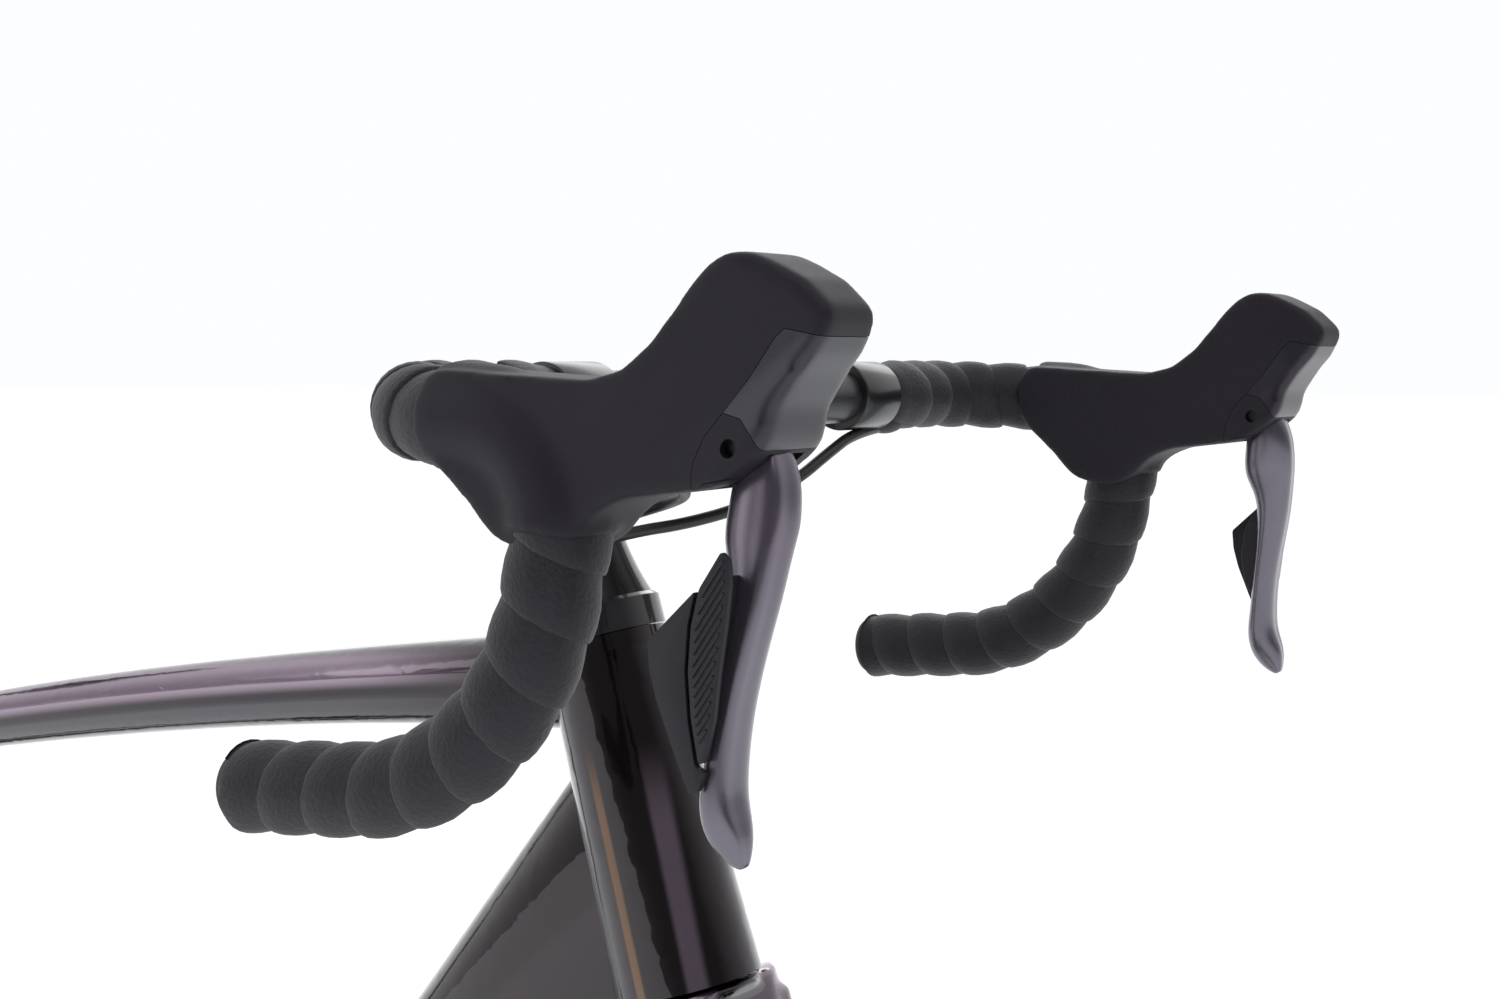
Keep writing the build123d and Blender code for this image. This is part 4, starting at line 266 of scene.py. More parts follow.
finishes = {
    "hoodRubber": finish("hoodRubber", (0.0095, 0.0084, 0.0115), rough=0.55, ior=1.38,
                         tint=(0.95, 0.88, 1.0), mottle=0.14,
                         grain=0.35, grainScale=2600),
    "coverLacquer": finish("coverLacquer", (0.03, 0.022, 0.031), rough=0.3, metal=0.7, coat=0.2,
                           coatRough=0.3,
                           mottle=0.12, mottleScale=9, grain=0.1, grainScale=4200,
                           second=(0.04, 0.04, 0.048)),
    "leverLacquer": finish("leverLacquer", (0.17, 0.14, 0.18), rough=0.27, metal=0.8, coat=0.4,
                           coatRough=0.16,
                           mottle=0.1, mottleScale=12, grain=0.1, grainScale=4200,
                           second=(0.16, 0.155, 0.185)),
    "paddleNylon": finish("paddleNylon", (0.011, 0.0103, 0.0125), rough=0.48, ior=1.42,
                          tint=(0.95, 0.9, 1.0), mottle=0.12, grain=0.4, grainScale=3000),
    "wrapTape": finish("wrapTape", (0.0125, 0.0114, 0.014), rough=0.56, ior=1.42, tint=(0.95, 0.9, 1.0),
                       mottle=0.2, mottleScale=60, sheen=0.1, grain=0.3, grainScale=1500),
    "glossBand": finish("glossBand", (0.006, 0.006, 0.007), rough=0.3, coat=0.2, mottle=0.1),
    "chameleonPaintWithPaintedReflections": finish("chameleonPaintWithPaintedReflections", (0.019, 0.0125, 0.018), rough=0.17, metal=0.92, coat=1.0, coatRough=0.03,
                        mottle=0.2, mottleScale=5, second=(0.03, 0.02, 0.022), grain=0.04, grainScale=5200),
    "satinCarbon": finish("satinCarbon", (0.013, 0.013, 0.015), rough=0.38, coat=0.3, coatRough=0.3,
                          mottle=0.25, mottleScale=14),
    "glossCarbon": finish("glossCarbon", (0.010, 0.010, 0.012), rough=0.25, coat=1.0, coatRough=0.04,
                          mottle=0.3, mottleScale=40),
    "blackAlloy": finish("blackAlloy", (0.028, 0.028, 0.031), rough=0.36, metal=0.85, mottle=0.12,
                         grain=0.2, grainScale=2400),
    "rawAlloy": finish("rawAlloy", (0.55, 0.55, 0.56), rough=0.3, metal=1.0, mottle=0.06, grain=0.15,
                       grainScale=1800),
    "steel": finish("steel", (0.46, 0.46, 0.47), rough=0.27, metal=1.0, mottle=0.1, mottleScale=60),
    "darkSteel": finish("darkSteel", (0.1, 0.1, 0.105), rough=0.35, metal=1.0, mottle=0.15, mottleScale=90),
    "hoseSkin": finish("hoseSkin", (0.014, 0.014, 0.015), rough=0.42, mottle=0.15, mottleScale=80,
                       grain=0.2, grainScale=1600),
    "tyreRubber": finish("tyreRubber", (0.022, 0.022, 0.023), rough=0.68, mottle=0.2, mottleScale=60,
                         grain=0.5, grainScale=1500),
    "saddleSkin": finish("saddleSkin", (0.019, 0.019, 0.02), rough=0.5, mottle=0.2, mottleScale=50,
                         sheen=0.15, grain=0.6, grainScale=1300),
    "mouldedNylon": finish("mouldedNylon", (0.018, 0.018, 0.019), rough=0.5, mottle=0.15, grain=0.35,
                           grainScale=1800),
    "padStone": finish("padStone", (0.16, 0.13, 0.10), rough=0.8, mottle=0.4, mottleScale=400, grain=0.8,
                       grainScale=900),
}
addPattern(finishes["wrapTape"], "ShaderNodeTexVoronoi", (620, 620, 620), 0.35, 0.0005, darken=0.25,
           useUv=True)
addPattern(finishes["steel"], "ShaderNodeTexWave", (0, 0, 2600), 0.06, 0.0002)
addPattern(finishes["glossCarbon"], "ShaderNodeTexWave", (900, 0, 900), 0.1, 0.0002, darken=0.3,
           turned=(0, 0.785, 0))
addPattern(finishes["saddleSkin"], "ShaderNodeTexVoronoi", (900, 900, 900), 0.3, 0.0003)
# colours of painted reflections on the frame's gloss paint: a lilac highlight tinted by the paint's flake, and orange
# and slate reflection bands
lilacHighlight = (0.33, 0.25, 0.32)
orangeReflection = (0.13, 0.07, 0.035)
slateReflection = (0.055, 0.053, 0.062)
rearward = ((-1.0, 0.0, 0.0), -0.27, -0.16)
belowCollar = ((0.0, 0.0, -1.0), -0.785, -0.75)
topTubeLine = 0.7662                                 # height of the top tube's arched middle above the bicycle's middle
# painted highlight: a lilac band along the top tube's upper side, with a slate painted reflection band below it, fading
# out towards the rear
addPaintedReflections(finishes["chameleonPaintWithPaintedReflections"], [
    ((-0.16302, 0.0, 1.0), topTubeLine + 0.0085, 0.0095, lilacHighlight, rearward),
    ((-0.16302, 0.0, 1.0), topTubeLine - 0.0085, 0.0065, slateReflection, rearward),
], bend=0.128)
headLine = 0.5285                                    # the head tube's middle, measured square to its lean
# painted reflections down the head tube: a lilac highlight streak and a thin orange reflection streak, below the collar
addPaintedReflections(finishes["chameleonPaintWithPaintedReflections"], [
    ((0.9563, 0.0, 0.29237), headLine + 0.0215, 0.0042, lilacHighlight, belowCollar),
    ((0.9563, 0.0, 0.29237), headLine - 0.0010, 0.0028, orangeReflection, belowCollar),
])
print("finishes made:", len(finishes))

makeStage()


# helpers for pieces
def sharpen(mesh, degrees):
    for polygon in mesh.polygons:
        polygon.use_smooth = True
    mesh.set_sharp_from_angle(angle=math.radians(degrees))


def addObject(name, mesh):
    piece = bpy.data.objects.new(name, mesh)
    bpy.context.scene.collection.objects.link(piece)
    return piece


def fromBmesh(name, bm, degrees=35):
    mesh = bpy.data.meshes.new(name)
    bmesh.ops.recalc_face_normals(bm, faces=bm.faces[:])
    bm.to_mesh(mesh)
    bm.free()
    sharpen(mesh, degrees)
    return addObject(name, mesh)


def applied(piece, degrees=35):
    # the piece with its modifiers worked into its mesh
    bpy.context.view_layer.update()
    evaluated = piece.evaluated_get(bpy.context.evaluated_depsgraph_get())
    mesh = bpy.data.meshes.new_from_object(evaluated)
    piece.modifiers.clear()
    old = piece.data
    piece.data = mesh
    bpy.data.meshes.remove(old)
    mesh.name = piece.name
    sharpen(mesh, degrees)
    return piece


def place(piece, material, body, slotName, *nodes):
    piece.data.materials.clear()
    piece.data.materials.append(finishes[material])
    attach(piece, body)
    if nodes:
        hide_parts(*nodes)
    return piece


def prism(outline, low, high, side=1):
    # a flat outline of (forward, up) points given a thickness across the bicycle
    bm = bmesh.new()
    corners = [bm.verts.new(at(f, u, low * side)) for f, u in outline]
    face = bm.faces.new(corners)
    made = bmesh.ops.extrude_face_region(bm, geom=[face])
    moved = [v for v in made["geom"] if isinstance(v, bmesh.types.BMVert)]
    bmesh.ops.translate(bm, verts=moved, vec=(0, (high - low) * side * mm, 0))
    bmesh.ops.recalc_face_normals(bm, faces=bm.faces[:])
    return bm


def rodBm(start, end, radius, segments=32):
    bm = bmesh.new()
    axis = end - start
    turn = axis.to_track_quat("Z", "Y").to_matrix().to_4x4()
    bmesh.ops.create_cone(
        bm, cap_ends=True, segments=segments, radius1=radius, radius2=radius, depth=axis.length,
        matrix=Matrix.Translation((start + end) / 2) @ turn,
    )
    return bm


def cutWith(piece, bm, operation):
    # one boolean cut; the cutter is thrown away
    cutter = fromBmesh(piece.name + "_cutter", bm)
    modifier = piece.modifiers.new("cut", "BOOLEAN")
    modifier.operation = operation
    modifier.solver = "EXACT"
    modifier.object = cutter
    applied(piece)
    bpy.data.objects.remove(cutter)
    return piece


def copied(piece, name):
    twin = addObject(name, piece.data.copy())
    return twin


def mirrored(piece, name):
    # the same piece for the other side of the bicycle
    twin = copied(piece, name)
    bm = bmesh.new()
    bm.from_mesh(twin.data)
    bmesh.ops.scale(bm, vec=(1, -1, 1), verts=bm.verts[:])
    bmesh.ops.reverse_faces(bm, faces=bm.faces[:])
    bm.to_mesh(twin.data)
    bm.free()
    return twin


def merged(nodeName, pieceName):
    # a copy of a CAD node with its loose triangles joined
    twin = addObject(pieceName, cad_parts[nodeName].data.copy())
    bm = bmesh.new()
    bm.from_mesh(twin.data)
    bmesh.ops.remove_doubles(bm, verts=bm.verts[:], dist=1e-6)
    bm.to_mesh(twin.data)
    bm.free()
    return twin


def moulded(piece, voxel, passes, degrees=60):
    # one skin over all its shapes, with the corners eased
    remesh = piece.modifiers.new("skin", "REMESH")
    remesh.mode = "VOXEL"
    remesh.voxel_size = voxel
    ease = piece.modifiers.new("ease", "SMOOTH")
    ease.factor = 0.5
    ease.iterations = passes
    return applied(piece, degrees)


# the bar's own line
barLine = {
    "corners": [(0, 0, 0), (0, 0, 210), (90, -4.5, 210), (63, -118, 210), (-52, -128, 210)],
    "radii": [45, 30, 90],
    "spacing": 2.0,
}


def traceBar():
    # points along the middle of the left half of the bar, from its centre to its end
    corners = [at(*c) for c in barLine["corners"]]
    points = [corners[0]]
    for before, here, after, radius in zip(corners, corners[1:], corners[2:], barLine["radii"]):
        arrive = (here - before).normalized()
        leave = (after - here).normalized()
        turn = arrive.angle(leave)
        reach = radius * mm * math.tan(turn / 2)
        axis = arrive.cross(leave).normalized()
        start = here - arrive * reach
        centre = start + axis.cross(arrive) * (radius * mm)
        count = max(int(radius * turn / barLine["spacing"]), 3)
        for k in range(count + 1):
            points.append(centre + Matrix.Rotation(turn * k / count, 3, axis) @ (start - centre))
    points.append(corners[-1])
    return points


# hoods, covers and pivot caps
hood = {
    "outline": [(40, -12), (36, 2), (42, 12.4), (72, 10.5), (100, 9.0), (113, 12.0), (124, 20), (138, 37),
                (145, 43.5),
                (153, 45.5), (162, 42), (172, 37), (182, 28), (176, 18), (170, 11), (164, 2), (162, -8),
                (154, -14),
                (147, -19), (112, -23.5), (101, -28), (94, -36), (84, -42), (66, -38), (56, -27)],
    "halfWidth": 18.0,
    "rounding": 13.5,
    "cornerRounding": 7.0,
    "growth": 0.9,
    "sleeveRadius": 17.6,
    "voxel": 1.3,
    "passes": 22,
    "seam": [(204, 17.5), (186, 20.5), (167.5, 24), (164.5, 21.5), (156, 10), (147.6, 0.4), (158, -9),
             (170, -30), (215, -20)],
    "cap": [(148, 0.8), (154.2, -0.8), (158.4, -5.8), (162.6, -12.6), (154, -16.5), (142, -19),
            (138.2, -22), (139, -13), (142, -6)],
    "seamGap": 0.22,
    "capProud": 0.25,
    "slot": [(141.7, -5.4), (155, -5.4), (159.5, -10.6), (174.7, -10.9), (174.7, -68.9), (110.7, -68.9),
             (126.7, -22.9)],
    "slotHalf": 9.2,
    "pivot": (150.7, -8.9),
    "holeRadius": 2.7,
}


def grown(outline, amount):
    # the outline moved out along its own corners
    middle = Vector((sum(p[0] for p in outline) / len(outline), sum(p[1] for p in outline) / len(outline)))
    result = []
    for i, (f, u) in enumerate(outline):
        before = Vector(outline[i - 1])
        after = Vector(outline[(i + 1) % len(outline)])
        edge = (after - before).normalized()
        out = Vector((edge.y, -edge.x))
        if out.dot(Vector((f, u)) - middle) < 0:
            out = -out
        result.append((f + out.x * amount, u + out.y * amount))
    return result


def makeHoodBlank():
    bm = prism(grown(hood["outline"], hood["growth"]), hoodMiddle - hood["halfWidth"],
               hoodMiddle + hood["halfWidth"])
    corners = [e for e in bm.edges if abs(e.verts[0].co.y - e.verts[1].co.y) > 1e-5 and e.calc_face_angle(0) > 0.42]
    bmesh.ops.bevel(bm, geom=corners, offset=hood["cornerRounding"] * mm, offset_type="OFFSET", segments=4,
                    profile=0.5,
                    affect="EDGES", material=-1, clamp_overlap=True)
    rims = [e for e in bm.edges if abs(e.verts[0].co.y - e.verts[1].co.y) < 1e-6]
    bmesh.ops.bevel(bm, geom=rims, offset=hood["rounding"] * mm, offset_type="OFFSET", segments=5,
                    profile=0.5,
                    affect="EDGES", material=-1, clamp_overlap=True)
    for vert in bm.verts:
        forward = (vert.co.x - barCentre.x) / mm
        up = (vert.co.z - barCentre.z) / mm
        waist = math.exp(-((forward - 108) / 22) ** 2) * 0.09
        low = max(0, min(1, (-up - 16) / 24)) * 0.1
        horn = max(0, min(1, (up - 16) / 24)) * 0.13
        nose = max(0, min(1, (forward - 148) / 30)) * 0.2
        vert.co.y = hoodMiddle * mm + (vert.co.y - hoodMiddle * mm) * (1 - waist - low - horn - nose)
    # a sleeve around the bar, from the ramp through the bend
    line = [p for p in traceBar() if p.y > 0.2 and p.x > barCentre.x + 0.038 and p.z > barCentre.z - 0.036]
    sleeve = bmesh.new()
    loops = []
    for i, point in enumerate(line):
        heading = line[min(i + 1, len(line) - 1)] - line[max(i - 1, 0)]
        turn = heading.to_track_quat("Z", "Y").to_matrix().to_4x4()
        made = bmesh.ops.create_circle(sleeve, cap_ends=False, segments=24, radius=hood["sleeveRadius"] * mm,
                                       matrix=Matrix.Translation(point) @ turn)
        loops.append(made["verts"])
    for first, second in zip(loops, loops[1:]):
        both = set(first) | set(second)
        near = [e for e in sleeve.edges if all(v in both for v in e.verts)]
        bmesh.ops.bridge_loops(sleeve, edges=near)
    bmesh.ops.holes_fill(sleeve, edges=sleeve.edges[:], sides=0)
    bmesh.ops.recalc_face_normals(sleeve, faces=sleeve.faces[:])
    sleeveMesh = bpy.data.meshes.new("sleeve")
    sleeve.to_mesh(sleeveMesh)
    bm.from_mesh(sleeveMesh)
    return fromBmesh("hoodBlank", bm)


hoodBlank = makeHoodBlank()
moulded(hoodBlank, hood["voxel"] * mm, hood["passes"])
cutWith(hoodBlank, prism(hood["slot"], hoodMiddle - hood["slotHalf"], hoodMiddle + hood["slotHalf"]),
        "DIFFERENCE")
pivotStart = at(*hood["pivot"], hoodMiddle - 40)
pivotEnd = at(*hood["pivot"], hoodMiddle + 40)

hoodLeft = copied(hoodBlank, "hood_left")
cutWith(hoodLeft, prism(grown(hood["seam"], hood["seamGap"]), 100, 300), "DIFFERENCE")
cutWith(hoodLeft, prism(grown(hood["cap"], hood["seamGap"]), 100, 300), "DIFFERENCE")
coverLeft = copied(hoodBlank, "cover_left")
cutWith(coverLeft, prism(hood["seam"], 100, 300), "INTERSECT")
cutWith(coverLeft, prism(grown(hood["cap"], hood["seamGap"]), 100, 300), "DIFFERENCE")
capLeft = copied(hoodBlank, "pivot_cap_left")
cutWith(capLeft, prism(hood["cap"], 100, 300), "INTERSECT")
cutWith(capLeft, rodBm(pivotStart, pivotEnd, hood["holeRadius"] * mm), "DIFFERENCE")
bpy.data.objects.remove(hoodBlank)
pinLeft = fromBmesh("pivot_pin_left",
                    rodBm(at(*hood["pivot"], hoodMiddle - 13.5), at(*hood["pivot"], hoodMiddle + 13.5),
                          2.65 * mm))
for part, material, slotName, node in (
    (hoodLeft, "hoodRubber", "lever_hoods", "lever_hoods"),
    (coverLeft, "coverLacquer", "lever_covers", "lever_covers"),
    (capLeft, "hoodRubber", "lever_hoods", None),
    (pinLeft, "blackAlloy", "lever_brackets", None),
):
    twin = mirrored(part, part.name.replace("left", "right"))
    for one in (part, twin):
        place(one, material, "steering", slotName, *([node] if node else []))
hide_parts("lever_brackets")
print("hoods made")

# brake levers
lever = {
    # forward, up, out from the bar's line, width across, depth fore and aft
    "run": [(152.0, -9, -4.0, 15.0, 15.0), (153.3, -18, -3.6, 18.0, 21.4), (152.6, -30, -2.2, 19.0, 23.6),
            (152.4, -36, -0.8, 18.6, 22.4), (153.6, -43, 0.9, 17.2, 17.6), (153.5, -50, 2.4, 16.4, 15.2),
            (152.6, -58, 3.9, 16.0, 13.4), (150.7, -70, 5.5, 16.0, 11.4), (148.4, -84, 7.0, 16.4, 10.6),
            (147.3, -97, 8.2, 17.2, 10.6), (146.5, -107, 9.0, 18.0, 12.8), (148.2, -114.5, 9.7, 16.2, 15.0),
            (151.6, -121, 10.0, 11.4, 11.8), (154.2, -125.6, 10.1, 5.0, 4.6)],
    "around": 24,
    "ridgeReach": 0.24,        # how far the ridge stands out, as a share of the radius
    "housing": [(153, -43), (147, -48), (140, -60), (138, -72), (140, -86), (146, -93), (149, -84),
                (150.5, -66), (152.5, -50)],
    "screw": (146.5, -84),
    "housingInner": 214.0,
    "housingOuter": 226.3,
}


def makeLever(side):
    bm = bmesh.new()
    rings = []
    run = lever["run"]
    for i, (forward, up, out, width, depth) in enumerate(run):
        before = run[max(i - 1, 0)]
        after = run[min(i + 1, len(run) - 1)]
        heading = Vector((after[0] - before[0], 0, after[1] - before[1])).normalized()
        foreward = Vector((-heading.z, 0, heading.x))
        centre = at(forward, up, barHalf + out)
        made = bmesh.ops.create_circle(bm, cap_ends=False, segments=lever["around"], radius=1.0)
        for vert in made["verts"]:
            angle = math.atan2(vert.co.y, vert.co.x)
            swell = 1 + lever["ridgeReach"] * math.exp(-((angle - 0.85) / 0.24) ** 2)
            swell -= 0.07 * math.exp(-((angle - 0.25) / 0.35) ** 2)
            flat = 0.92 if math.cos(angle) < -0.4 else 1.0
            x = math.cos(angle) * depth / 2 * mm * swell * flat
            y = math.sin(angle) * width / 2 * mm * swell
            vert.co = centre + foreward * x + Vector((0, y, 0))
        rings.append(made["verts"])
    for first, second in zip(rings, rings[1:]):
        edges = [e for e in bm.edges if all(v in first for v in e.verts) or all(v in second for v in e.verts)]
        bmesh.ops.bridge_loops(bm, edges=edges)
    bmesh.ops.holes_fill(bm, edges=bm.edges[:], sides=0)
    for cap in (f for f in bm.faces[:] if len(f.verts) > 4):
        bmesh.ops.inset_individual(bm, faces=[cap], thickness=0.0012, depth=0.0008)
    piece = fromBmesh("brake_blade_left" if side > 0 else "brake_blade_right", bm, 60)
    if side < 0:
        flipped = mirrored(piece, "flipped")
        bpy.data.objects.remove(piece)
        piece = flipped
        piece.name = "brake_blade_right"
    subdivide = piece.modifiers.new("smooth", "SUBSURF")
    subdivide.levels = subdivide.render_levels = 2
    return applied(piece, 70)


for side, word in ((1, "left"), (-1, "right")):
    blade = makeLever(side)
    place(blade, "leverLacquer", f"brake_lever_{word}", f"brake_lever_{word}", f"brake_lever_{word}")
    housing = prism(lever["housing"], lever["housingInner"], lever["housingOuter"], side)
    uprights = [e for e in housing.edges if abs(e.verts[0].co.y - e.verts[1].co.y) > 1e-5]
    bmesh.ops.bevel(housing, geom=uprights, offset=2.2 * mm, segments=4, profile=0.5, affect="EDGES",
                    material=-1, clamp_overlap=True)
    rims = [e for e in housing.edges if abs(e.verts[0].co.y - e.verts[1].co.y) < 1e-6]
    bmesh.ops.bevel(housing, geom=rims, offset=1.2 * mm, segments=3, profile=0.5, affect="EDGES",
                    material=-1, clamp_overlap=True)
    place(fromBmesh(f"paddle_housing_{word}", housing, 50), "paddleNylon", f"brake_lever_{word}",
          f"brake_lever_{word}")
    inboard = lever["screw"]
    screw = rodBm(at(*inboard, side * 212.5), at(*inboard, side * 215.5), 1.7 * mm, 24)
    rims = [e for e in screw.edges if abs(e.verts[0].co.y - e.verts[1].co.y) < 1e-6]
    bmesh.ops.bevel(screw, geom=rims, offset=0.4 * mm, segments=2, profile=0.5, affect="EDGES", material=-1,
                    clamp_overlap=True)
    place(fromBmesh(f"lever_screw_{word}", screw), "rawAlloy", f"brake_lever_{word}", f"brake_lever_{word}")
print("levers made")

# shift paddles
paddles = {
    "inner": barHalf + 18.0,
    "thickness": 2.4,
    "front": [(153.6, -36.6), (146.2, -47.3), (143.4, -58), (142.4, -70.7), (143.4, -84), (145.8, -96.2),
              (148, -95.6),
              (151, -84), (152.8, -70), (155, -56.8), (156.4, -46), (156.0, -39)],
    "rear": [(144.9, -48), (128.7, -63), (129.4, -71), (131.8, -79.5), (137, -92), (143, -105),
             (145.8, -104), (148, -98.2),
             (144.9, -97), (142.5, -84.3), (141.4, -70.7), (142.5, -57.5)],
    "ribPitch": 1.75,
    "ribRadius": 0.5,
}


def makePaddle(kind, side):
    word = "left" if side > 0 else "right"
    outline = paddles[kind]
    bm = prism(outline, paddles["inner"], paddles["inner"] + paddles["thickness"], side)
    uprights = [e for e in bm.edges if abs(e.verts[0].co.y - e.verts[1].co.y) > 1e-5]
    bmesh.ops.bevel(bm, geom=uprights, offset=0.9 * mm, segments=3, profile=0.5, affect="EDGES",
                    material=-1, clamp_overlap=True)
    rims = [e for e in bm.edges if abs(e.verts[0].co.y - e.verts[1].co.y) < 1e-6]
    bmesh.ops.bevel(bm, geom=rims, offset=0.45 * mm, segments=2, profile=0.5, affect="EDGES", material=-1,
                    clamp_overlap=True)
    piece = fromBmesh(f"{kind}_paddle_plate_{word}", bm, 50)
    body = f"{kind}_paddle_{word}"
    place(piece, "paddleNylon", body, body, body)
    if kind == "front":
        ribs = bmesh.new()
        outer = paddles["inner"] + paddles["thickness"]
        lean = Vector((0.58, 0.815))
        across = Vector((-lean.y, lean.x))
        edge = [Vector(p) for p in grown(outline, -1.5)]
        for k in range(-30, 31):
            origin = Vector((149, -68)) + across * (k * paddles["ribPitch"])
            hits = []
            for first, second in zip(edge, edge[1:] + edge[:1]):
                run = second - first
                bend = run.x * lean.y - run.y * lean.x
                if abs(bend) < 1e-9:
                    continue
                share = ((origin.x - first.x) * lean.y - (origin.y - first.y) * lean.x) / bend
                if 0 <= share <= 1:
                    hits.append((first + run * share - origin).dot(lean))
            if len(hits) < 2 or max(hits) - min(hits) < 2:
                continue
            start = origin + lean * min(hits)
            stop = origin + lean * max(hits)
            rib = rodBm(at(*start, side * outer), at(*stop, side * outer), paddles["ribRadius"] * mm, 8)
            shape = bpy.data.meshes.new("rib")
            rib.to_mesh(shape)
            rib.free()
            ribs.from_mesh(shape)
            bpy.data.meshes.remove(shape)
        place(fromBmesh(f"paddle_ribs_{word}", ribs, 30), "paddleNylon", body, body)


for side in (1, -1):
    for kind in ("front", "rear"):
        makePaddle(kind, side)
print("paddles made")

# tape
def evenly(points, spacing):
    # the same line with even steps, and a frame at each that doesn't twist
    steps = [points[0]]
    carry = 0.0
    for first, second in zip(points, points[1:]):
        run = (second - first).length
        travel = spacing - carry
        while travel < run:
            steps.append(first.lerp(second, travel / run))
            travel += spacing
        carry = (carry + run) % spacing
    steps.append(points[-1])
    frames = []
    normal = (steps[1] - steps[0]).orthogonal().normalized()
    for i, point in enumerate(steps):
        tangent = (steps[min(i + 1, len(steps) - 1)] - steps[max(i - 1, 0)]).normalized()
        normal = (normal - tangent * normal.dot(tangent)).normalized()
        frames.append((point, tangent, normal, tangent.cross(normal)))
    return frames


tape = {
    "pitch": 20.0,
    "turnSteps": 30,
    # across the strip from its open edge, and the radius there: the top first, then the underside
    "section": [(0.1, 14.3), (0.5, 15.1), (1.6, 15.45), (5, 15.8), (10, 15.75), (15, 15.0), (20, 14.2),
                (26, 13.6),
                (27, 12.8), (20, 13.0), (8, 13.4), (0.3, 13.6)],
    "start": -19.0,
    "edge": 0.6,
    "stop": 115.0,
}


def makeTape():
    spacing = 0.5
    line = evenly(list(reversed(traceBar())), spacing * mm)
    lengthAll = (len(line) - 1) * spacing
    turns = (lengthAll - tape["start"] - tape["stop"] - 27) / tape["pitch"]
    count = int(turns * tape["turnSteps"])
    bm = bmesh.new()
    uv = bm.loops.layers.uv.new("wrap")
    marks = {}

    def spot(step, across, radius):
        angle = 2 * math.pi * step / tape["turnSteps"]
        distance = max(tape["start"] + tape["pitch"] * step / tape["turnSteps"] + across, tape["edge"])
        point, tangent, normal, aside = line[min(int(distance / spacing), len(line) - 1)]
        return point + (normal * math.cos(angle) + aside * math.sin(angle)) * radius * mm

    section = tape["section"]
    ringVerts = [bm.verts.new(spot(0, a, r)) for a, r in section]
    for vert, (across, radius) in zip(ringVerts, section):
        marks[vert] = (0.0, across)
    edges = [bm.edges.new((ringVerts[i], ringVerts[(i + 1) % len(section)])) for i in range(len(section))]
    bm.faces.new(ringVerts)
    current = ringVerts
    for step in range(1, count + 1):
        made = bmesh.ops.extrude_edge_only(bm, edges=edges)["geom"]
        fresh = [g for g in made if isinstance(g, bmesh.types.BMVert)]
        edges = [g for g in made if isinstance(g, bmesh.types.BMEdge)
                 and all(v in set(fresh) for v in g.verts)]
        ordered = []
        for old in current:
            ordered.append(next(e.other_vert(old) for e in old.link_edges if e.other_vert(old) in fresh))
        for vert, (across, radius) in zip(ordered, section):
            vert.co = spot(step, across, radius)
            marks[vert] = (step * 15.0 * 2 * math.pi / tape["turnSteps"], across)
        current = ordered
    bm.faces.new(current)
    for face in bm.faces:
        for loop in face.loops:
            along, across = marks[loop.vert]
            loop[uv].uv = (along * mm, across * mm)
    return fromBmesh("tape_left", bm, 50)


tapeLeft = makeTape()
tapeRight = mirrored(tapeLeft, "tape_right")
place(tapeLeft, "wrapTape", "steering", "bar_tape_left", "bar_tape_left")
place(tapeRight, "wrapTape", "steering", "bar_tape_right", "bar_tape_right")
bandShape = {"from": 88.0, "to": 118.0, "radius": 15.2}
for side, word in ((1, "left"), (-1, "right")):
    band = rodBm(at(0, 0, side * bandShape["from"]), at(0, 0, side * bandShape["to"]),
                 bandShape["radius"] * mm, 64)
    rims = [e for e in band.edges if abs(e.verts[0].co.y - e.verts[1].co.y) < 1e-6]
    bmesh.ops.bevel(band, geom=rims, offset=0.9 * mm, segments=3, profile=0.5, affect="EDGES", material=-1,
                    clamp_overlap=True)
    place(fromBmesh(f"tape_finish_{word}", band), "glossBand", "steering", f"bar_tape_{word}")
print("tape wound")

# brake hoses
hoses = {
    "left": [(0.0, 124.0, -14.6), (2.0, 98.0, -16.5), (5.0, 72.0, -24.0), (3.0, 46.0, -36.0),
             (-8.0, 22.0, -46.0),
             (-24.0, 3.0, -52.0), (-41.0, -8.0, -55.0), (-58.0, -9.0, -59.7)],
    "right": [(0.0, -124.0, -14.6), (2.0, -98.0, -16.5), (6.0, -72.0, -22.0), (6.0, -46.0, -30.0),
              (-4.0, -22.0, -36.5),
              (-21.0, -3.0, -41.0), (-40.0, 8.0, -45.5), (-60.0, 9.0, -51.0)],
    "lengths": {"left": 0.1729, "right": 0.175},
    "diameter": 0.005,
}
for word in ("left", "right"):
    curve = bpy.data.curves.new(f"hose_{word}", "CURVE")
    curve.dimensions = "3D"
    curve.bevel_depth = hoses["diameter"] / 2
    curve.bevel_resolution = 6
    curve.use_fill_caps = True
    spline = curve.splines.new("NURBS")
    route = [at(f, u, y) for f, y, u in hoses[word]]
    spline.points.add(len(route) - 1)
    for point, spot in zip(spline.points, route):
        point.co = (*spot, 1)
    spline.order_u = 3
    spline.use_endpoint_u = True
    spline.resolution_u = 12
    hose = bpy.data.objects.new(f"hose_{word}", curve)
    bpy.context.scene.collection.objects.link(hose)
    hose.data.materials.append(finishes["hoseSkin"])
    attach(hose, "steering")
    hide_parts("brake_hoses")
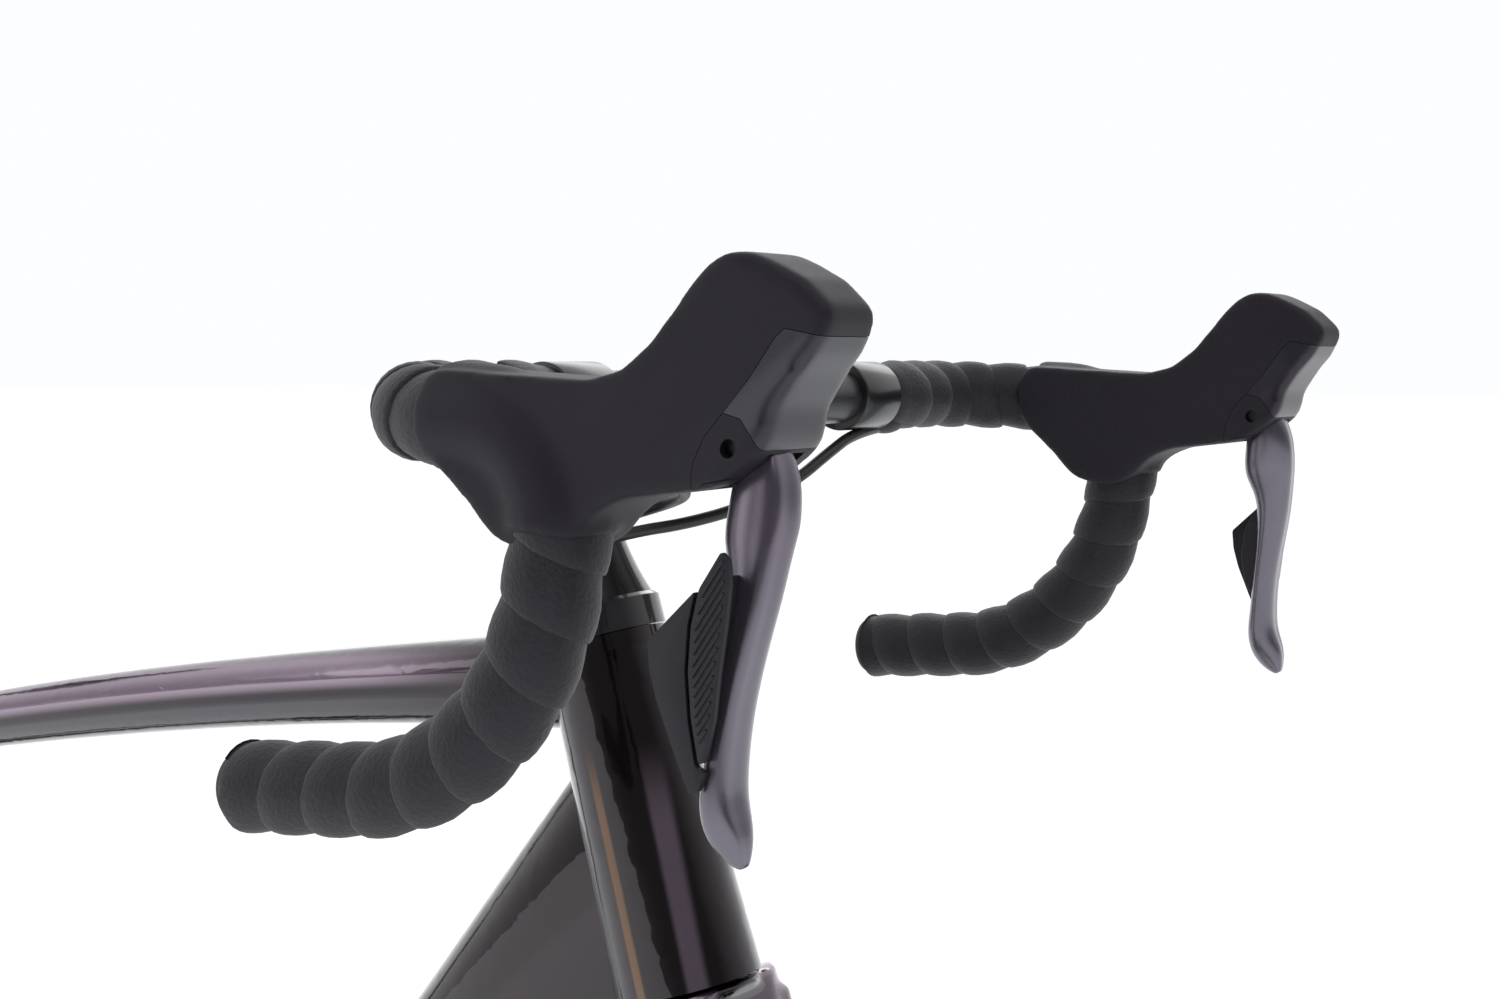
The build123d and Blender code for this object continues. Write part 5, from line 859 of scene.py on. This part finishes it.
for side, word in ((1, "left"), (-1, "right")):
    # the tape's swelling where the hose comes out from under it
    swelling = bmesh.new()
    bmesh.ops.create_icosphere(swelling, subdivisions=4, radius=1.0)
    bmesh.ops.scale(swelling, vec=(6.5 * mm, 15 * mm, 6.0 * mm), verts=swelling.verts[:])
    bmesh.ops.translate(swelling, vec=at(0, -11.6, side * 129), verts=swelling.verts[:])
    place(fromBmesh(f"hose_exit_{word}", swelling), "wrapTape", "steering", f"bar_tape_{word}")
print("hoses laid")

# fork moulded in one skin, and the collar at the top of the head tube
forkSkin = {"voxel": 2.2, "passes": 8}
skin = moulded(merged("fork", "fork_skin"), forkSkin["voxel"] * mm, forkSkin["passes"])
place(skin, "chameleonPaintWithPaintedReflections", "steering", "fork", "fork")
print("fork skin made")

headUp = Vector((-0.29237, 0, 0.9563))
headTop = Vector((0.301803, 0, 0.820425))
collar = {"outer": 26.4, "inner": 20.9, "height": 6.5, "rise": 0.4}
ringBm = rodBm(headTop - headUp * (collar["height"] * mm), headTop + headUp * (collar["rise"] * mm),
               collar["outer"] * mm, 96)
ends = [f for f in ringBm.faces if len(f.verts) > 8]
bmesh.ops.inset_individual(ringBm, faces=ends, thickness=(collar["outer"] - collar["inner"]) * mm)
loops = [e for f in ends for e in f.edges]
bmesh.ops.delete(ringBm, geom=ends, context="FACES_ONLY")
bmesh.ops.bridge_loops(ringBm, edges=loops)
place(fromBmesh("head_collar", ringBm), "chameleonPaintWithPaintedReflections", "frame", "main_frame")

# saddle
saddle = {"voxel": 2.4, "passes": 10, "channelHalf": 9.0, "channelDepth": 5.0}
cover = merged("saddle_cover", "saddle_pad")
moulded(cover, saddle["voxel"] * mm, saddle["passes"])
low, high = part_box("saddle_cover")
for vert in cover.data.vertices:
    along = (vert.co.x - low.x) / (high.x - low.x)
    reach = max(0.0, min(1.0, (along - 0.12) / 0.15)) * max(0.0, min(1.0, (0.92 - along) / 0.2))
    dip = math.exp(-(vert.co.y / (saddle["channelHalf"] * mm)) ** 2) * saddle["channelDepth"] * mm
    if vert.normal.z > 0.3:
        vert.co.z -= dip * reach
ease = cover.modifiers.new("ease", "SMOOTH")
ease.iterations = 3
applied(cover, 60)
place(cover, "saddleSkin", "frame", "saddle_cover", "saddle_cover")
print("saddle padded")

# tyres
tyre = {"middle": 325.0, "radius": 14.0, "steps": 160}


def makeTyre(word):
    lowCorner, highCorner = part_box(f"{word}_tyre")
    centre = (lowCorner + highCorner) / 2
    bm = bmesh.new()
    outline = []
    for k in range(29):
        angle = math.radians(-128 + 256 * k / 28)
        bulge = 0.25 if abs(angle) < 0.75 else 0.0
        reach = tyre["radius"] + bulge - (0.35 if 0.74 < abs(angle) < 0.92 else 0.0)
        outline.append((math.sin(angle) * reach, tyre["middle"] + math.cos(angle) * reach))
    for k in range(12):
        angle = math.radians(128 - 256 * k / 11)
        outline.append((math.sin(angle) * 12.4, tyre["middle"] + math.cos(angle) * 12.4))
    verts = [bm.verts.new(centre + Vector((0, y, r)) * mm) for y, r in outline]
    edges = [bm.edges.new((verts[i], verts[(i + 1) % len(verts)])) for i in range(len(verts))]
    bmesh.ops.spin(bm, geom=verts + edges, cent=centre, axis=(0, 1, 0), angle=2 * math.pi,
                   steps=tyre["steps"], use_merge=True)
    bmesh.ops.remove_doubles(bm, verts=bm.verts[:], dist=1e-6)
    return fromBmesh(f"{word}_tyre_casing", bm, 40)


for word in ("front", "rear"):
    place(makeTyre(word), "tyreRubber", f"{word}_wheel", f"{word}_tyre", f"{word}_tyre")
print("tyres made")

# finishes of the pieces that keep their shape
kept = {
    "main_frame": "chameleonPaintWithPaintedReflections", "fork": "chameleonPaintWithPaintedReflections", "chainstays": "chameleonPaintWithPaintedReflections", "seatstays": "chameleonPaintWithPaintedReflections",
    "frame_bearings": "blackAlloy", "seat_clamp": "blackAlloy", "seatpost": "satinCarbon",
    "saddle_clamp": "blackAlloy",
    "saddle_rails": "darkSteel", "saddle_shell": "mouldedNylon", "rear_caliper": "blackAlloy",
    "front_caliper": "blackAlloy", "front_derailleur_body": "blackAlloy",
    "rear_derailleur_base": "blackAlloy",
    "rear_thru_axle": "blackAlloy", "front_thru_axle": "blackAlloy", "chain": "steel",
    "headset_spacers": "glossCarbon",
    "stem": "glossCarbon", "stem_faceplate": "blackAlloy", "stem_bolts": "darkSteel", "top_cap": "blackAlloy",
    "handlebar": "satinCarbon", "bar_end_plugs": "mouldedNylon", "cassette": "rawAlloy",
    "crank_right": "blackAlloy",
    "crank_left": "blackAlloy", "chainrings": "darkSteel", "front_derailleur_cage": "darkSteel",
    "rear_derailleur_outer_link": "blackAlloy", "rear_derailleur_inner_link": "blackAlloy",
    "rear_derailleur_knuckle": "mouldedNylon", "rear_derailleur_cage": "blackAlloy",
    "guide_pulley": "mouldedNylon",
    "tension_pulley": "mouldedNylon", "pedal_right": "mouldedNylon", "pedal_left": "mouldedNylon",
}
for word in ("front", "rear"):
    kept[f"{word}_rim"] = "glossCarbon"
    kept[f"{word}_spokes"] = "darkSteel"
    kept[f"{word}_hub"] = "blackAlloy"
    kept[f"{word}_rotor"] = "steel"
for node, material in kept.items():
    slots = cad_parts[node].material_slots
    for slot in slots:
        slot.material = finishes[material]
    if not slots:
        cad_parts[node].data.materials.append(finishes[material])
print("kept pieces finished:", len(kept))
